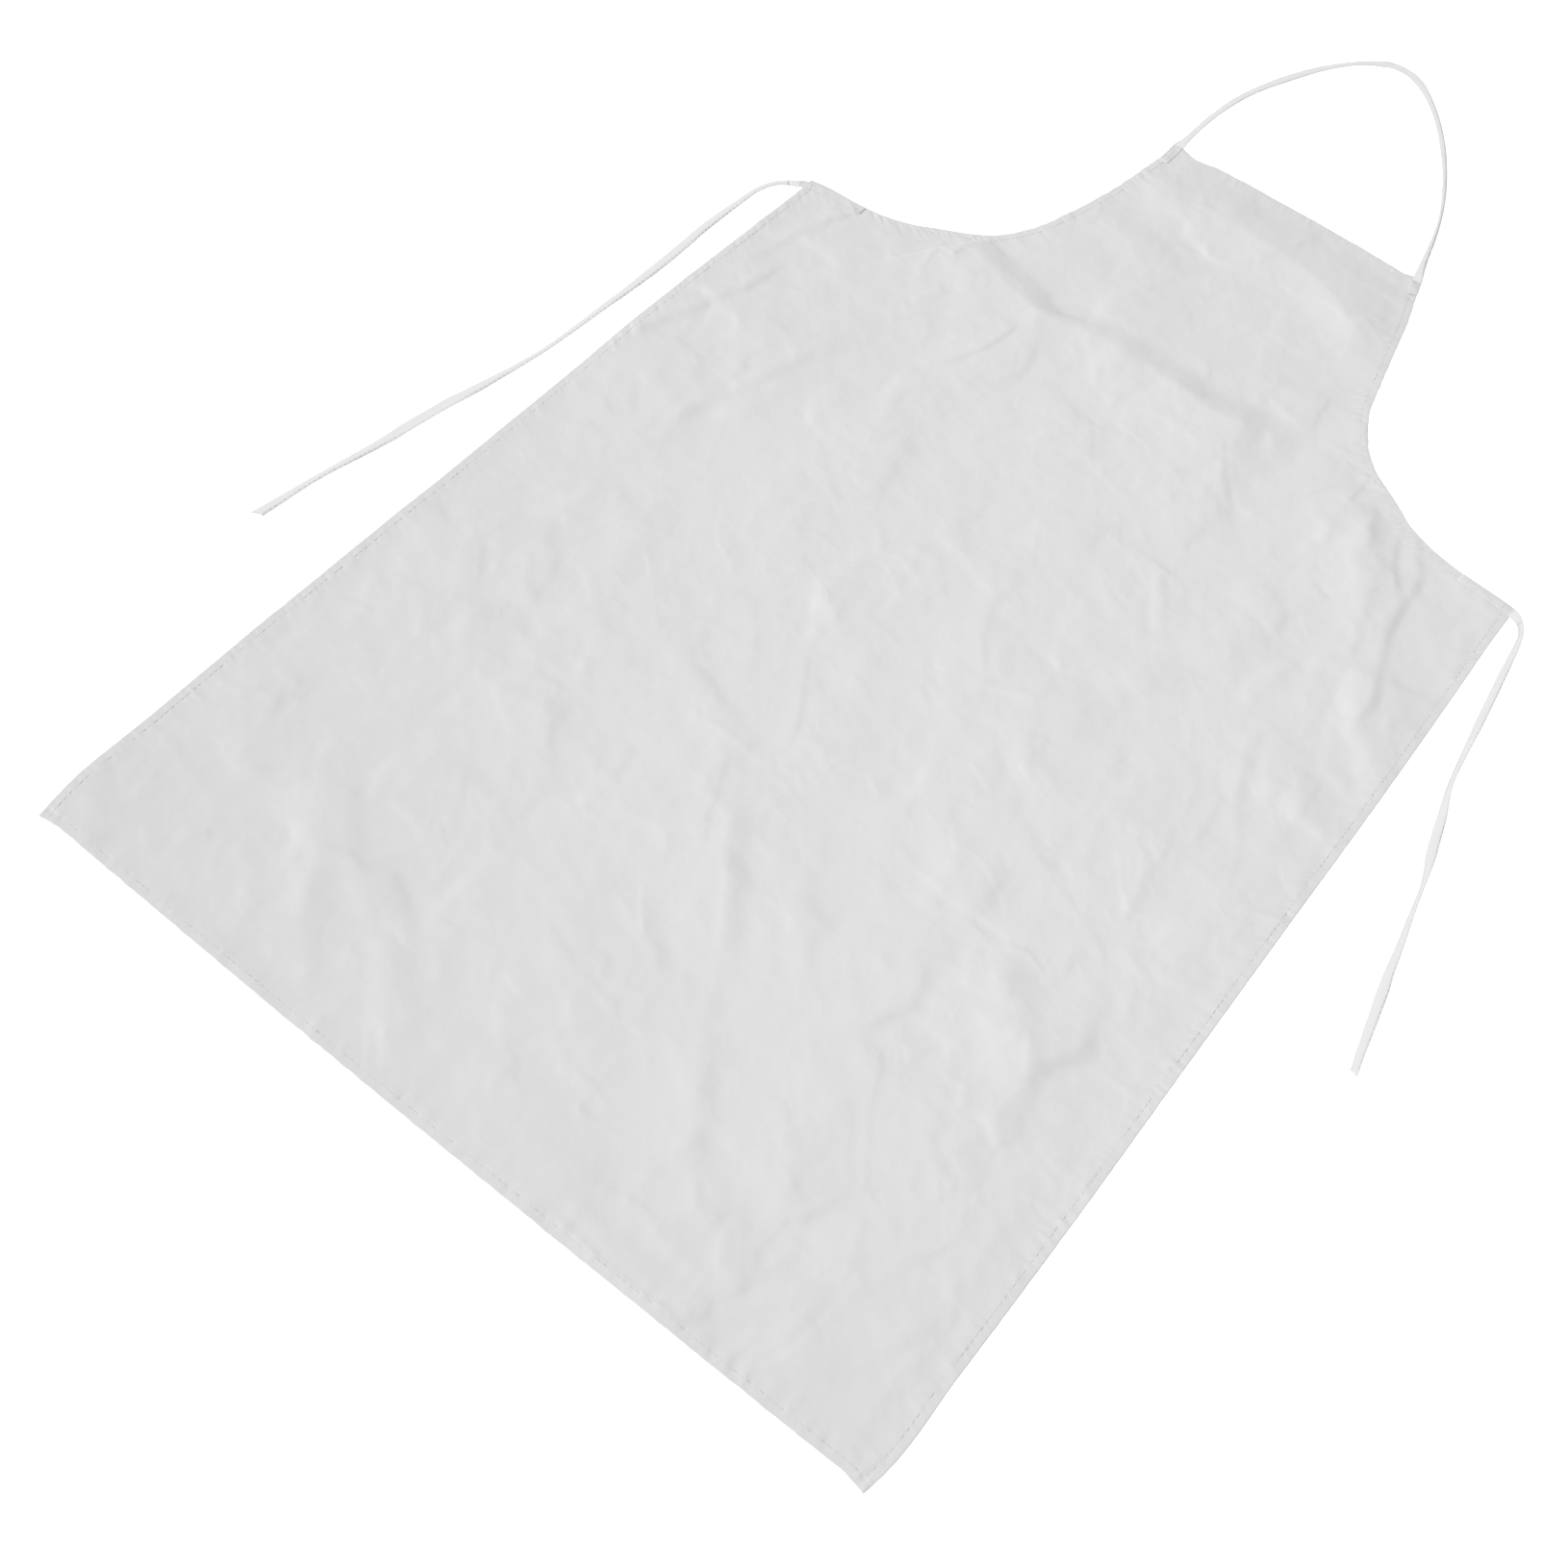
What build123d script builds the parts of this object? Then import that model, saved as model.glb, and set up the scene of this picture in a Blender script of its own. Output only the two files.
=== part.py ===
"""Butcher apron in thin coated fabric, lying flat with its front face up.

One cut panel with a narrow double-turned hem on every edge, a neck strap sewn to the two bib corners and
two waist ties sewn along the shoulder hems. All seams are lockstitch: a needle thread on the front and a
bobbin thread on the back, both pulled into the cloth.

Millimetres. +Y runs from the skirt to the bib, +Z out of the front face, +X to the right when the front is
seen with the bib at the top. Origin: midway between the two waist corners, on the plane the back rests on.

The panel is one sheet of cloth. It is held here as three sections that meet at two fold lines, so that the
bib can fold down over the skirt and the skirt can fold up over itself.
"""

from build123d import *

import os

import numpy as np

# ---------------------------------------------------------------- panel dimensions
skirt_half_w = 350.0  # half the width of the skirt
skirt_len = 850.0  # waist corners down to the bottom edge
bib_top_half_w = 130.0  # half the width of the bib's top edge
bib_len = 270.0  # waist corners up to the bib's top edge

sheet_t = 0.30  # one layer of coated cloth
hem_w = 8.0  # finished width of the turned hem
hem_t = 3 * sheet_t  # the edge is turned twice, so three layers

seam_inset = 6.5  # stitch line in from the finished edge
seam_gap = 0.3  # seams end just short of each other
thread_w = 0.50  # pressed width of a thread
thread_t = 0.20  # how deep it sinks into the cloth
play = 0.02  # room between a thread and its channel

bib_fold_y = 22.0  # the bib folds down about this line
skirt_fold_y = -590.0  # the lower skirt folds up about this line
fold_gap = 1.0  # split in the sheet at a fold line
below_bib_fold, above_bib_fold = bib_fold_y - fold_gap / 2, bib_fold_y + fold_gap / 2
below_skirt_fold, above_skirt_fold = skirt_fold_y - fold_gap / 2, skirt_fold_y + fold_gap / 2

# ---------------------------------------------------------------- strap dimensions
strap_w = 9.0  # neck strap and waist ties: a folded strip of the panel cloth
strap_t = 0.85
strap_top_z = hem_t + strap_t  # top of a strap end sewn on a hem
strap_seam_off = 3.0  # the strip's closing seam, to the left of its centre line
strap_thread_t = 0.15
side_gap = 1.0  # split in a strap at the panel's edge
strap_lap = 3.0  # free straps are drawn this far over the panel, then trimmed

neck_end_len = 25.0  # length of the neck strap sewn on each bib corner
neck_end_depth = strap_w / 2  # its centre line, in from the armhole edge
waist_end_len = 45.0  # length of a waist tie sewn along the shoulder hem
waist_end_depth = strap_w / 2 + 0.3  # its centre line, in from the shoulder edge
waist_end_overrun = 2.0  # drawn this far past the side edge, then trimmed

tack_l, tack_w, tack_t = 7.0, 2.4, 0.25  # bar tack: a close zigzag across the strap
neck_tack_inset = 4.0  # tack centres in from both ends of a sewn neck strap end

# ---------------------------------------------------------------- modelling allowances
far = 900.0  # beyond the apron on every side
overcut = 1.0  # how far channel cutters stand out of the cloth
armhole_samples = 240  # points the armhole curve is offset from
outline_samples = 40  # points along each armhole of an outline

sides = {"left": -1, "right": 1}

# ---------------------------------------------------------------- measured curves, (x, y)
# right-hand shoulder and armhole edge, waist corner to bib corner
armhole_points = [
    (skirt_half_w, 0.0), (318.0, 2.6), (284.0, 8.2), (246.0, 20.0), (212.0, 40.0), (187.0, 60.0),
    (173.0, 80.0), (163.5, 102.0), (151.5, 150.0), (141.5, 200.0), (bib_top_half_w, bib_len),
]

# centre line of the free neck strap, left bib corner to right
neck_end_x = bib_top_half_w - strap_w / 2
neck_path = [
    (-neck_end_x, bib_len - strap_lap),
    (-126.0, 292.0), (-125.0, 320.0), (-122.3, 347.0), (-118.3, 371.0), (-112.0, 394.0),
    (-103.3, 416.0), (-94.3, 437.5), (-83.5, 459.5), (-71.0, 480.0), (-56.0, 498.5),
    (-40.0, 510.5), (-25.0, 514.5), (-11.0, 512.5), (6.0, 503.5), (25.0, 486.5),
    (41.0, 468.0), (55.0, 448.5), (67.5, 428.0), (79.0, 407.0), (89.0, 386.0),
    (98.0, 363.5), (105.8, 341.0), (112.0, 318.0), (118.0, 295.0), (121.8, 281.0),
    (neck_end_x, bib_len - strap_lap),
]

# centre lines of the waist ties: a root from the side edge out to the bend where the tie turns
# down beside the skirt, then the free length from that bend
root_start_x, root_start_y = skirt_half_w - strap_lap, -4.3
left_bend = (-365.0, -15.5)
right_bend = (364.0, -15.5)
root_paths = {
    "left": [(-root_start_x, root_start_y), (-357.0, -8.8), left_bend],
    "right": [(root_start_x, root_start_y), (357.0, -8.4), right_bend],
}
tie_paths = {
    "left": [
        left_bend, (-371.0, -26.0), (-374.5, -38.0), (-376.5, -60.0), (-378.0, -90.0),
        (-378.5, -125.0), (-378.0, -165.0), (-379.0, -205.0), (-381.2, -245.0),
        (-383.2, -285.0), (-387.5, -322.0), (-394.3, -360.0), (-402.0, -400.0),
        (-408.7, -441.0), (-416.0, -480.0), (-422.5, -515.0), (-427.0, -547.0),
        (-431.0, -574.0),
    ],
    "right": [
        right_bend, (367.3, -28.0), (370.0, -52.0), (373.5, -77.0), (377.0, -104.0),
        (381.0, -136.0), (385.5, -171.0), (393.5, -203.0), (401.5, -231.0),
        (410.0, -263.0), (417.2, -299.0), (424.5, -335.0), (431.5, -371.0),
        (438.5, -405.0), (442.5, -428.0),
    ],
}


# ---------------------------------------------------------------- curves
def smooth(points):
    return Spline(*[Vector(*point) for point in points])


def sample(points, count):
    """count points spaced evenly in parameter on the smooth curve through points."""
    curve = smooth(points)
    return np.array([[(curve @ t).X, (curve @ t).Y] for t in np.linspace(0, 1, count)])


def normals(points):
    """Unit left-hand normals of an ordered run of points."""
    tangents = np.gradient(points, axis=0)
    tangents /= np.linalg.norm(tangents, axis=1)[:, None]
    return np.c_[-tangents[:, 1], tangents[:, 0]]


armhole = sample(armhole_points, armhole_samples)
armhole_normals = normals(armhole)  # point into the cloth


def armhole_inset(inset):
    """The right armhole moved into the cloth, trimmed to the inset side and top edges."""
    points = armhole + armhole_normals * inset
    if inset > 0:
        side_x, top_y = skirt_half_w - inset, bib_len - inset

        first = int(np.argmax(points[:, 0] <= side_x))
        before, after = points[first - 1], points[first]
        fraction = (side_x - before[0]) / (after[0] - before[0])
        points = np.vstack([before + fraction * (after - before), points[first:]])

        last = int(np.argmax(points[:, 1] >= top_y))
        before, after = points[last - 1], points[last]
        fraction = (top_y - before[1]) / (after[1] - before[1])
        points = np.vstack([points[:last], before + fraction * (after - before)])

        points[0, 0], points[-1, 1] = side_x, top_y
    steps = np.linalg.norm(np.diff(points, axis=0), axis=1)
    length = np.r_[0, np.cumsum(steps)]
    stations = np.linspace(0, length[-1], outline_samples)
    return np.c_[
        np.interp(stations, length, points[:, 0]),
        np.interp(stations, length, points[:, 1]),
    ]


def armhole_line(side, depth, stations, axis):
    """Points depth inside one armhole edge, at right-hand stations on axis (0 for X, 1 for Y)."""
    line = armhole + armhole_normals * depth
    line = line[np.argsort(line[:, axis])]
    across = np.interp(stations, line[:, axis], line[:, 1 - axis])
    pairs = zip(stations, across) if axis == 0 else zip(across, stations)
    return [(side * float(x), float(y)) for x, y in pairs]


# ---------------------------------------------------------------- faces and solids
def outline(inset):
    """The panel's face, moved in from the finished edge."""
    points = armhole_inset(inset)
    right = [Vector(x, y) for x, y in points]
    left = [Vector(-x, y) for x, y in points[::-1]]
    side_x, bottom_y = right[0].X, -skirt_len + inset
    edges = [
        Line((-side_x, bottom_y), (side_x, bottom_y)),
        Line((side_x, bottom_y), right[0]),
        Spline(*right),
        Line(right[-1], left[0]),
        Spline(*left),
        Line(left[-1], (-side_x, bottom_y)),
    ]
    return make_face(Wire(edges))


def seam_ring(width):
    """A band of the given width centred on the stitch line, all round the panel."""
    return outline(seam_inset - width / 2) - outline(seam_inset + width / 2)


def ribbon(path, width, offset=0.0, round_start=False, round_end=False):
    """A flat face following path, its middle moved offset to the left of the line."""
    centre = sample(path, max(12, 3 * len(path)))
    across = normals(centre)
    left = centre + across * (offset + width / 2)
    right = centre + across * (offset - width / 2)
    edges = [
        smooth(left),
        Line(Vector(*left[-1]), Vector(*right[-1])),
        smooth(right[::-1]),
        Line(Vector(*right[0]), Vector(*left[0])),
    ]
    face = make_face(Wire(edges))
    if round_start:
        face = face + Pos(*centre[0]) * Circle(width / 2)
    if round_end:
        face = face + Pos(*centre[-1]) * Circle(width / 2)
    return face


def fuse(shapes):
    return sum(shapes[1:], shapes[0])


def slab(region, z0, z1):
    """The faces of region raised from z0 to z1."""
    slabs = []
    for face in region.faces():
        if face.normal_at().Z < 0:
            face = -face
        slabs.append(Pos(0, 0, z0) * extrude(face, amount=z1 - z0, dir=(0, 0, 1)))
    return fuse(slabs)


def block(x0, x1, y0, y1, z0=-5.0, z1=10.0):
    """A box between limits; by default taller than the cloth on both faces."""
    centre = Pos((x0 + x1) / 2, (y0 + y1) / 2, (z0 + z1) / 2)
    return centre * Box(x1 - x0, y1 - y0, z1 - z0)


def side_block(side, inner_x, y0, y1):
    """A block from inner_x outwards, on the left (-1) or right (1) of the centre line."""
    return block(*sorted((side * inner_x, side * far)), y0, y1)


def cut_channels(body, region, z0, z1, depth):
    """Thread channels in the top face z1 and the bottom face z0 of body."""
    top = slab(region, z1 - depth - play, z1 + overcut)
    bottom = slab(region, z0 - overcut, z0 + depth + play)
    return body - top - bottom


def thread_pair(region, z0, z1, depth):
    """Needle thread flush with the top face z1, bobbin thread flush with the bottom face z0."""
    return slab(region, z1 - depth, z1) + slab(region, z0, z0 + depth)


def save(name, shape):
    solids = shape.solids()
    part = solids[0] if len(solids) == 1 else Compound(children=list(solids))
    export_step(part, f"parts/{name}.step")


# ---------------------------------------------------------------- panel and its hem seams
def save_panel():
    """The hemmed sheet, split at the two fold lines."""
    whole = outline(0.0)
    hem_ring = whole - outline(hem_w)
    sheet = slab(whole, 0.0, sheet_t) + slab(hem_ring, 0.0, hem_t)
    sheet = cut_channels(sheet, seam_ring(thread_w + 2 * play), 0.0, hem_t, thread_t)

    sections = {
        "bib_panel": (above_bib_fold, far),
        "skirt_panel_upper": (above_skirt_fold, below_bib_fold),
        "skirt_panel_lower": (-far, below_skirt_fold),
    }
    for name, (y0, y1) in sections.items():
        save(name, sheet & block(-far, far, y0, y1))


def save_hem_seams():
    """The threads round the panel, split at the corners and fold lines."""
    threads = thread_pair(seam_ring(thread_w), 0.0, hem_t, thread_t)

    inner = seam_inset + thread_w  # a line just inside the seam
    side_x = skirt_half_w - inner
    bottom_y, top_y = -skirt_len + inner, bib_len - inner
    corner_y = float(armhole_inset(seam_inset)[0][1]) - thread_w

    save("bottom_hem_seam", threads & block(-far, far, -far, bottom_y))
    save("top_hem_seam", threads & block(-far, far, top_y, far))

    # name pattern: (inner x, lower y, upper y)
    side_zones = {
        "side_seam_{}_lower": (side_x, bottom_y + seam_gap, below_skirt_fold),
        "side_seam_{}_upper": (side_x, above_skirt_fold, corner_y - seam_gap),
        "shoulder_seam_{}": (100, corner_y, below_bib_fold),
        "armhole_seam_{}": (50, above_bib_fold, top_y - seam_gap),
    }
    for side_name, side in sides.items():
        for pattern, zone in side_zones.items():
            save(pattern.format(side_name), threads & side_block(side, *zone))


# ---------------------------------------------------------------- straps
def strap(path, **ends):
    """A strap lying on the ground plane, with its closing seam's channels in both faces."""
    body = slab(ribbon(path, strap_w, **ends), 0.0, strap_t)
    channel = ribbon(path, thread_w + 2 * play, strap_seam_off)
    return cut_channels(body, channel, 0.0, strap_t, strap_thread_t)


def strap_seam(path):
    band = ribbon(path, thread_w, strap_seam_off)
    return thread_pair(band, 0.0, strap_t, strap_thread_t)


def sewn_strap(path, **ends):
    """A plain length of strap at the height of the hem's top."""
    return slab(ribbon(path, strap_w, **ends), hem_t, strap_top_z)


def bar_tacks(centres, size_x, size_y):
    z = strap_top_z + tack_t / 2
    return fuse([Pos(x, y, z) * Box(size_x, size_y, tack_t) for x, y in centres])


def save_neck_strap():
    """One free loop above the bib."""
    above_bib = block(-far, far, bib_len + side_gap / 2, far)
    save("neck_strap", strap(neck_path) & above_bib)
    save("neck_strap_edge_seam", strap_seam(neck_path) & above_bib)


def save_neck_end(name, side):
    """An end of the neck strap, sewn down a bib corner."""
    end_y = bib_len - neck_end_len
    path = armhole_line(side, neck_end_depth, np.linspace(bib_len, end_y, 6), axis=1)
    save(f"neck_strap_{name}_sewn_end", sewn_strap(path))

    tack_ys = (bib_len - neck_tack_inset, end_y + neck_tack_inset)
    tack_centres = armhole_line(side, neck_end_depth, tack_ys, axis=1)
    save(f"neck_strap_{name}_bar_tacks", bar_tacks(tack_centres, tack_l, tack_w))


def save_waist_tie(name, side):
    """Sewn end on the shoulder hem, a short root past the edge, then the free length."""
    xs = np.linspace(skirt_half_w - waist_end_len, skirt_half_w + waist_end_overrun, 8)
    path = armhole_line(side, waist_end_depth, xs, axis=0)
    end = sewn_strap(path) & block(-skirt_half_w, skirt_half_w, -far, far)
    save(f"waist_tie_{name}_sewn_end", end)
    save(f"waist_tie_{name}_bar_tacks", bar_tacks((path[1], path[-2]), tack_w, tack_l))

    root = sewn_strap(root_paths[name], round_end=True)
    root = root & side_block(side, skirt_half_w + side_gap, -far, far)
    save(f"waist_tie_{name}_root", root)

    save(f"waist_tie_{name}", strap(tie_paths[name], round_start=True))
    save(f"waist_tie_{name}_edge_seam", strap_seam(tie_paths[name]))


os.makedirs("parts", exist_ok=True)
save_panel()
save_hem_seams()
save_neck_strap()
for side_name, side in sides.items():
    save_neck_end(side_name, side)
    save_waist_tie(side_name, side)
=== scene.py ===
"""Bib apron of coated cloth, lying face up on a white floor.

X runs across the apron (left is -X), Y runs up it and Z is up from the floor. The bottom hem is
near y = -852, the corners where the sides meet the armholes near y = 0 and the top of the bib
near y = 271. The neck strap loops on beyond the bib, and a waist tie leaves each side corner.
Lengths are millimetres and become metres when a mesh is made; the scene itself is in metres.
"""
import math
from types import SimpleNamespace

import bpy
import numpy as np
from mathutils import Matrix, Vector


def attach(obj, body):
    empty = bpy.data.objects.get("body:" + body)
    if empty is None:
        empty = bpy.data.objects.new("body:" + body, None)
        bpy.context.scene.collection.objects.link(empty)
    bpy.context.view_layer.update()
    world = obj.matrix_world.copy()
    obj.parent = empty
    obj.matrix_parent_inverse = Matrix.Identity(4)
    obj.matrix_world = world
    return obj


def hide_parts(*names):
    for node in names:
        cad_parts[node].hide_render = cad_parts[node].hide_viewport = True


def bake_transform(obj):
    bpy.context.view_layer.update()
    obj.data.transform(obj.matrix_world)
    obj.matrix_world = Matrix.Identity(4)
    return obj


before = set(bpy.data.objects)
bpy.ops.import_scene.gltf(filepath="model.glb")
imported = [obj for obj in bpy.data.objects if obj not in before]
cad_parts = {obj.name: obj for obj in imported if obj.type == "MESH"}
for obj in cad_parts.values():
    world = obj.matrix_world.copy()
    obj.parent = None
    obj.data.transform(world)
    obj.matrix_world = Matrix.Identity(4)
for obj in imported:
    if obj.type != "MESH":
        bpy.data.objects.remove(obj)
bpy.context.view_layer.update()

MM = 0.001
CLOTH_T = 0.32
HEM_T = 0.68
HEM_WIDTH = 8.0
SEAM_INSET = 6.5
LIFT = 0.18  # underside above the floor, so that bobbin stitches clear it
STRAP_WIDTH = 9.3
STRAP_T = 0.72
EYE = np.array([386.73, -1135.56, 1178.13])  # camera position
AWAY_FROM_KEY = np.array([0.8, 0.6])  # across the floor, away from the key light


# ------------------------------------------------------------------ noise and curves
def lattice_random(column, row, seed):
    """Repeatable number from 0 to 1 for each whole-number grid point."""
    n = column.astype(np.int64) * 374761393 + row.astype(np.int64) * 668265263
    n = (n + seed * 2246822519) & 0xFFFFFFFF
    n = ((n ^ (n >> 13)) * 1274126177) & 0xFFFFFFFF
    n = ((n ^ (n >> 16)) * 2654435761) & 0xFFFFFFFF
    return ((n >> 8) & 0xFFFFFF) / float(0xFFFFFF)


def noise(x, y, seed):
    """Gradient noise, about -1 to 1."""
    x, y = np.asarray(x, float), np.asarray(y, float)
    column, row = np.floor(x), np.floor(y)
    part_x, part_y = x - column, y - row
    ease_x = part_x**3 * (part_x * (part_x * 6 - 15) + 10)
    ease_y = part_y**3 * (part_y * (part_y * 6 - 15) + 10)

    def corner(dx, dy):
        angle = lattice_random(column + dx, row + dy, seed) * 2 * np.pi
        return np.cos(angle) * (part_x - dx) + np.sin(angle) * (part_y - dy)

    low = corner(0, 0) * (1 - ease_x) + corner(1, 0) * ease_x
    high = corner(0, 1) * (1 - ease_x) + corner(1, 1) * ease_x
    return (low * (1 - ease_y) + high * ease_y) * 1.5


def facets(x, y, cell, seed, sharp, tilt, step):
    """Crumpled cloth: flat-ish facets, each with its own height and tilt, meeting in creases."""
    x, y = x / cell, y / cell
    column, row = np.floor(x), np.floor(y)
    total = np.zeros_like(x)
    weights = np.zeros_like(x)
    nearest = np.full_like(x, 1e9)
    cells = []
    for dx in (-1, 0, 1):
        for dy in (-1, 0, 1):
            at = (column + dx, row + dy)
            centre_x = at[0] + 0.12 + 0.76 * lattice_random(*at, seed)
            centre_y = at[1] + 0.12 + 0.76 * lattice_random(*at, seed + 1)
            away = np.hypot(x - centre_x, y - centre_y)
            nearest = np.minimum(nearest, away)
            cells.append((at, centre_x, centre_y, away))
    for at, centre_x, centre_y, away in cells:
        weight = np.exp(-(away - nearest) * sharp)
        height = (lattice_random(*at, seed + 2) - 0.5) * 2 * step
        angle = lattice_random(*at, seed + 3) * 2 * np.pi
        slope = tilt * (0.3 + 0.7 * lattice_random(*at, seed + 4))
        downhill = np.cos(angle) * (x - centre_x) + np.sin(angle) * (y - centre_y)
        total += weight * (height + slope * cell * downhill)
        weights += weight
    return total / weights


def smooth(start, end, value):
    """0 at start, 1 at end, eased at both."""
    t = np.clip((value - start) / (end - start), 0, 1)
    return t * t * (3 - 2 * t)


def distances(points):
    """Distance along a polyline to each of its points."""
    return np.r_[0, np.cumsum(np.linalg.norm(np.diff(points, axis=0), axis=1))]


def curve(points, step):
    """Evenly spaced points along a smooth curve; columns after x and y are carried along."""
    points = np.array(points, float)
    gap = np.linalg.norm(np.diff(points[:, :2], axis=0), axis=1)[:, None]
    slope = np.diff(points, axis=0) / gap
    # slope at each point, weighted so that uneven spacing does not overshoot
    inner = (slope[:-1] * gap[1:] + slope[1:] * gap[:-1]) / (gap[:-1] + gap[1:])
    tangent = np.vstack([slope[:1], inner, slope[-1:]])
    parts = []
    for i in range(len(points) - 1):
        t = np.linspace(0, 1, max(4, int(gap[i, 0] / 0.6)), endpoint=False)[:, None]
        to_end = 3 * t**2 - 2 * t**3
        leave = t**3 - 2 * t**2 + t
        arrive = t**3 - t**2
        bend = (tangent[i] * leave + tangent[i + 1] * arrive) * gap[i, 0]
        parts.append(points[i] * (1 - to_end) + points[i + 1] * to_end + bend)
    dense = np.vstack(parts + [points[-1][None]])
    run = distances(dense[:, :2])
    even = np.linspace(0, run[-1], max(4, int(round(run[-1] / step)) + 1))
    return np.stack([np.interp(even, run, column) for column in dense.T], 1)


def left_of(points):
    """Level unit vectors pointing to the left of a path at each point."""
    along = np.gradient(points[:, :2], axis=0)
    along /= np.linalg.norm(along, axis=1)[:, None]
    return np.c_[-along[:, 1], along[:, 0], np.zeros(len(along))]


# ------------------------------------------------------------------ mesh helpers
def mesh_object(name, verts, quads, material, normals=None, more_faces=()):
    """quads: (n, 4) vertex numbers; more_faces: lists of any length, after the quads."""
    mesh = bpy.data.meshes.new(name)
    quads = np.asarray(quads, np.int32)
    loops = np.concatenate([quads.ravel()] + [np.asarray(f, np.int32) for f in more_faces])
    counts = np.r_[np.full(len(quads), 4), [len(f) for f in more_faces]].astype(np.int32)
    mesh.vertices.add(len(verts))
    mesh.vertices.foreach_set("co", (verts * MM).astype(np.float32).ravel())
    mesh.loops.add(len(loops))
    mesh.loops.foreach_set("vertex_index", loops)
    mesh.polygons.add(len(counts))
    mesh.polygons.foreach_set("loop_start", np.r_[0, np.cumsum(counts)[:-1]].astype(np.int32))
    mesh.polygons.foreach_set("use_smooth", np.full(len(counts), True))
    mesh.update(calc_edges=True)
    rest = mesh.attributes.new("rest", "FLOAT_VECTOR", "POINT")
    rest.data.foreach_set("vector", verts.astype(np.float32).ravel())
    if normals is not None:
        mesh.normals_split_custom_set(normals.tolist())
    mesh.materials.append(material)
    ob = bpy.data.objects.new(name, mesh)
    bpy.context.scene.collection.objects.link(ob)
    return ob


def tube_quads(count, size):
    """Faces of a closed tube of count rings with size points each (even), capped at both ends."""
    ring = np.arange(count - 1)[:, None] * size
    here = np.arange(size)[None]
    after = (here + 1) % size
    corners = [ring + here, ring + after, ring + size + after, ring + size + here]
    caps = []
    for base, turn in ((0, -1), ((count - 1) * size, 1)):
        for a in range(size // 2 - 1):
            cap = [base + a, base + a + 1, base + size - 2 - a, base + size - 1 - a]
            caps.append(cap[::turn])
    return np.vstack([np.stack(corners, -1).reshape(-1, 4), caps])


def merge(parts):
    """Joins (vertices, quads) pairs into one."""
    verts, quads, count = [], [], 0
    for part_verts, part_quads in parts:
        verts.append(part_verts)
        quads.append(part_quads + count)
        count += len(part_verts)
    return np.vstack(verts), np.vstack(quads)


# ------------------------------------------------------------------ panel grid
# Points (x, y) up each side from the bottom corner to the armhole's corner, then along the
# armhole to the bib's top corner. The left-hand ones are mirrored to +X.
SIDE_RIGHT = [
    (349.5, -852.0), (352.5, -836.0), (354.0, -760.0), (355.0, -640.0), (354.3, -500.0),
    (353.8, -360.0), (353.5, -220.0), (351.8, -100.0), (350.5, -30.0), (351.0, -1.5),
]
SIDE_LEFT = [
    (349.5, -852.3), (352.0, -836.0), (354.5, -740.0), (354.5, -600.0), (353.0, -480.0),
    (352.5, -330.0), (351.0, -180.0), (348.0, -80.0), (346.0, -25.0), (346.5, 3.5),
]
ARMHOLE_RIGHT = [
    (351.0, -1.5), (335.0, 0.0), (318.0, 1.6), (298.0, 3.8), (273.0, 8.6), (245.5, 19.0),
    (229.5, 30.0), (212.0, 40.5), (197.5, 50.0), (187.0, 60.0), (179.0, 70.5), (173.0, 81.0),
    (168.0, 91.0), (163.0, 102.0), (158.5, 120.0), (154.0, 140.0), (149.0, 163.0),
    (144.0, 186.0), (138.5, 212.0), (131.0, 240.0), (120.5, 273.2),
]
ARMHOLE_LEFT = [
    (346.5, 3.5), (333.0, 6.0), (315.0, 7.0), (295.0, 8.0), (270.0, 11.5), (246.0, 20.5),
    (229.5, 30.5), (212.0, 40.5), (198.0, 50.0), (187.0, 60.0), (178.5, 70.5), (172.0, 81.0),
    (166.5, 91.0), (162.0, 102.0), (157.0, 120.0), (151.5, 140.0), (146.0, 165.0),
    (141.5, 190.0), (138.0, 215.0), (134.5, 242.0), (130.5, 270.5),
]
# grid lines that follow the edges, by their distance in from them
OFFSETS = np.array([0, 0.3, 0.9, 2.0, 3.4, 4.8, 5.8, 6.5, 7.2, 7.9, 8.15, 9.2, 10.8, 13.0, 15.5])
BAND = OFFSETS[-1]
BAND_LINES = len(OFFSETS)
ROW_PITCH = 1.72  # rows along the edges
COLUMN_PITCH = 2.5
HALF_WIDTH = 350
SIDE_LENGTH = 852.0
ARMHOLE_LENGTH = 442.0
BOTTOM_Y = -852.0  # ends of the centre line
TOP_Y = 271.2
ROWS_PER_STITCH = 3
COLUMNS_PER_STITCH = 2  # along the bottom hem
COLUMNS_PER_TOP_STITCH = 6


def even_steps(start, end, length):
    """Even steps from start to end, without start itself, about a row apart."""
    return np.linspace(start, end, int((length - BAND) / ROW_PITCH) + 1)[1:]


# rows as shares of the side's and the armhole's length
side_shares = np.r_[OFFSETS, even_steps(BAND, SIDE_LENGTH, SIDE_LENGTH)] / SIDE_LENGTH
armhole_shares = np.r_[
    even_steps(0, ARMHOLE_LENGTH - BAND, ARMHOLE_LENGTH), ARMHOLE_LENGTH - OFFSETS[::-1][1:]
] / ARMHOLE_LENGTH
corner_row = len(side_shares) - 1
arc = np.r_[side_shares * SIDE_LENGTH, SIDE_LENGTH + armhole_shares * ARMHOLE_LENGTH]
rows = len(arc)


def at_shares(points, shares):
    run = distances(points)
    return np.stack([np.interp(shares * run[-1], run, column) for column in points.T], 1)


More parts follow.
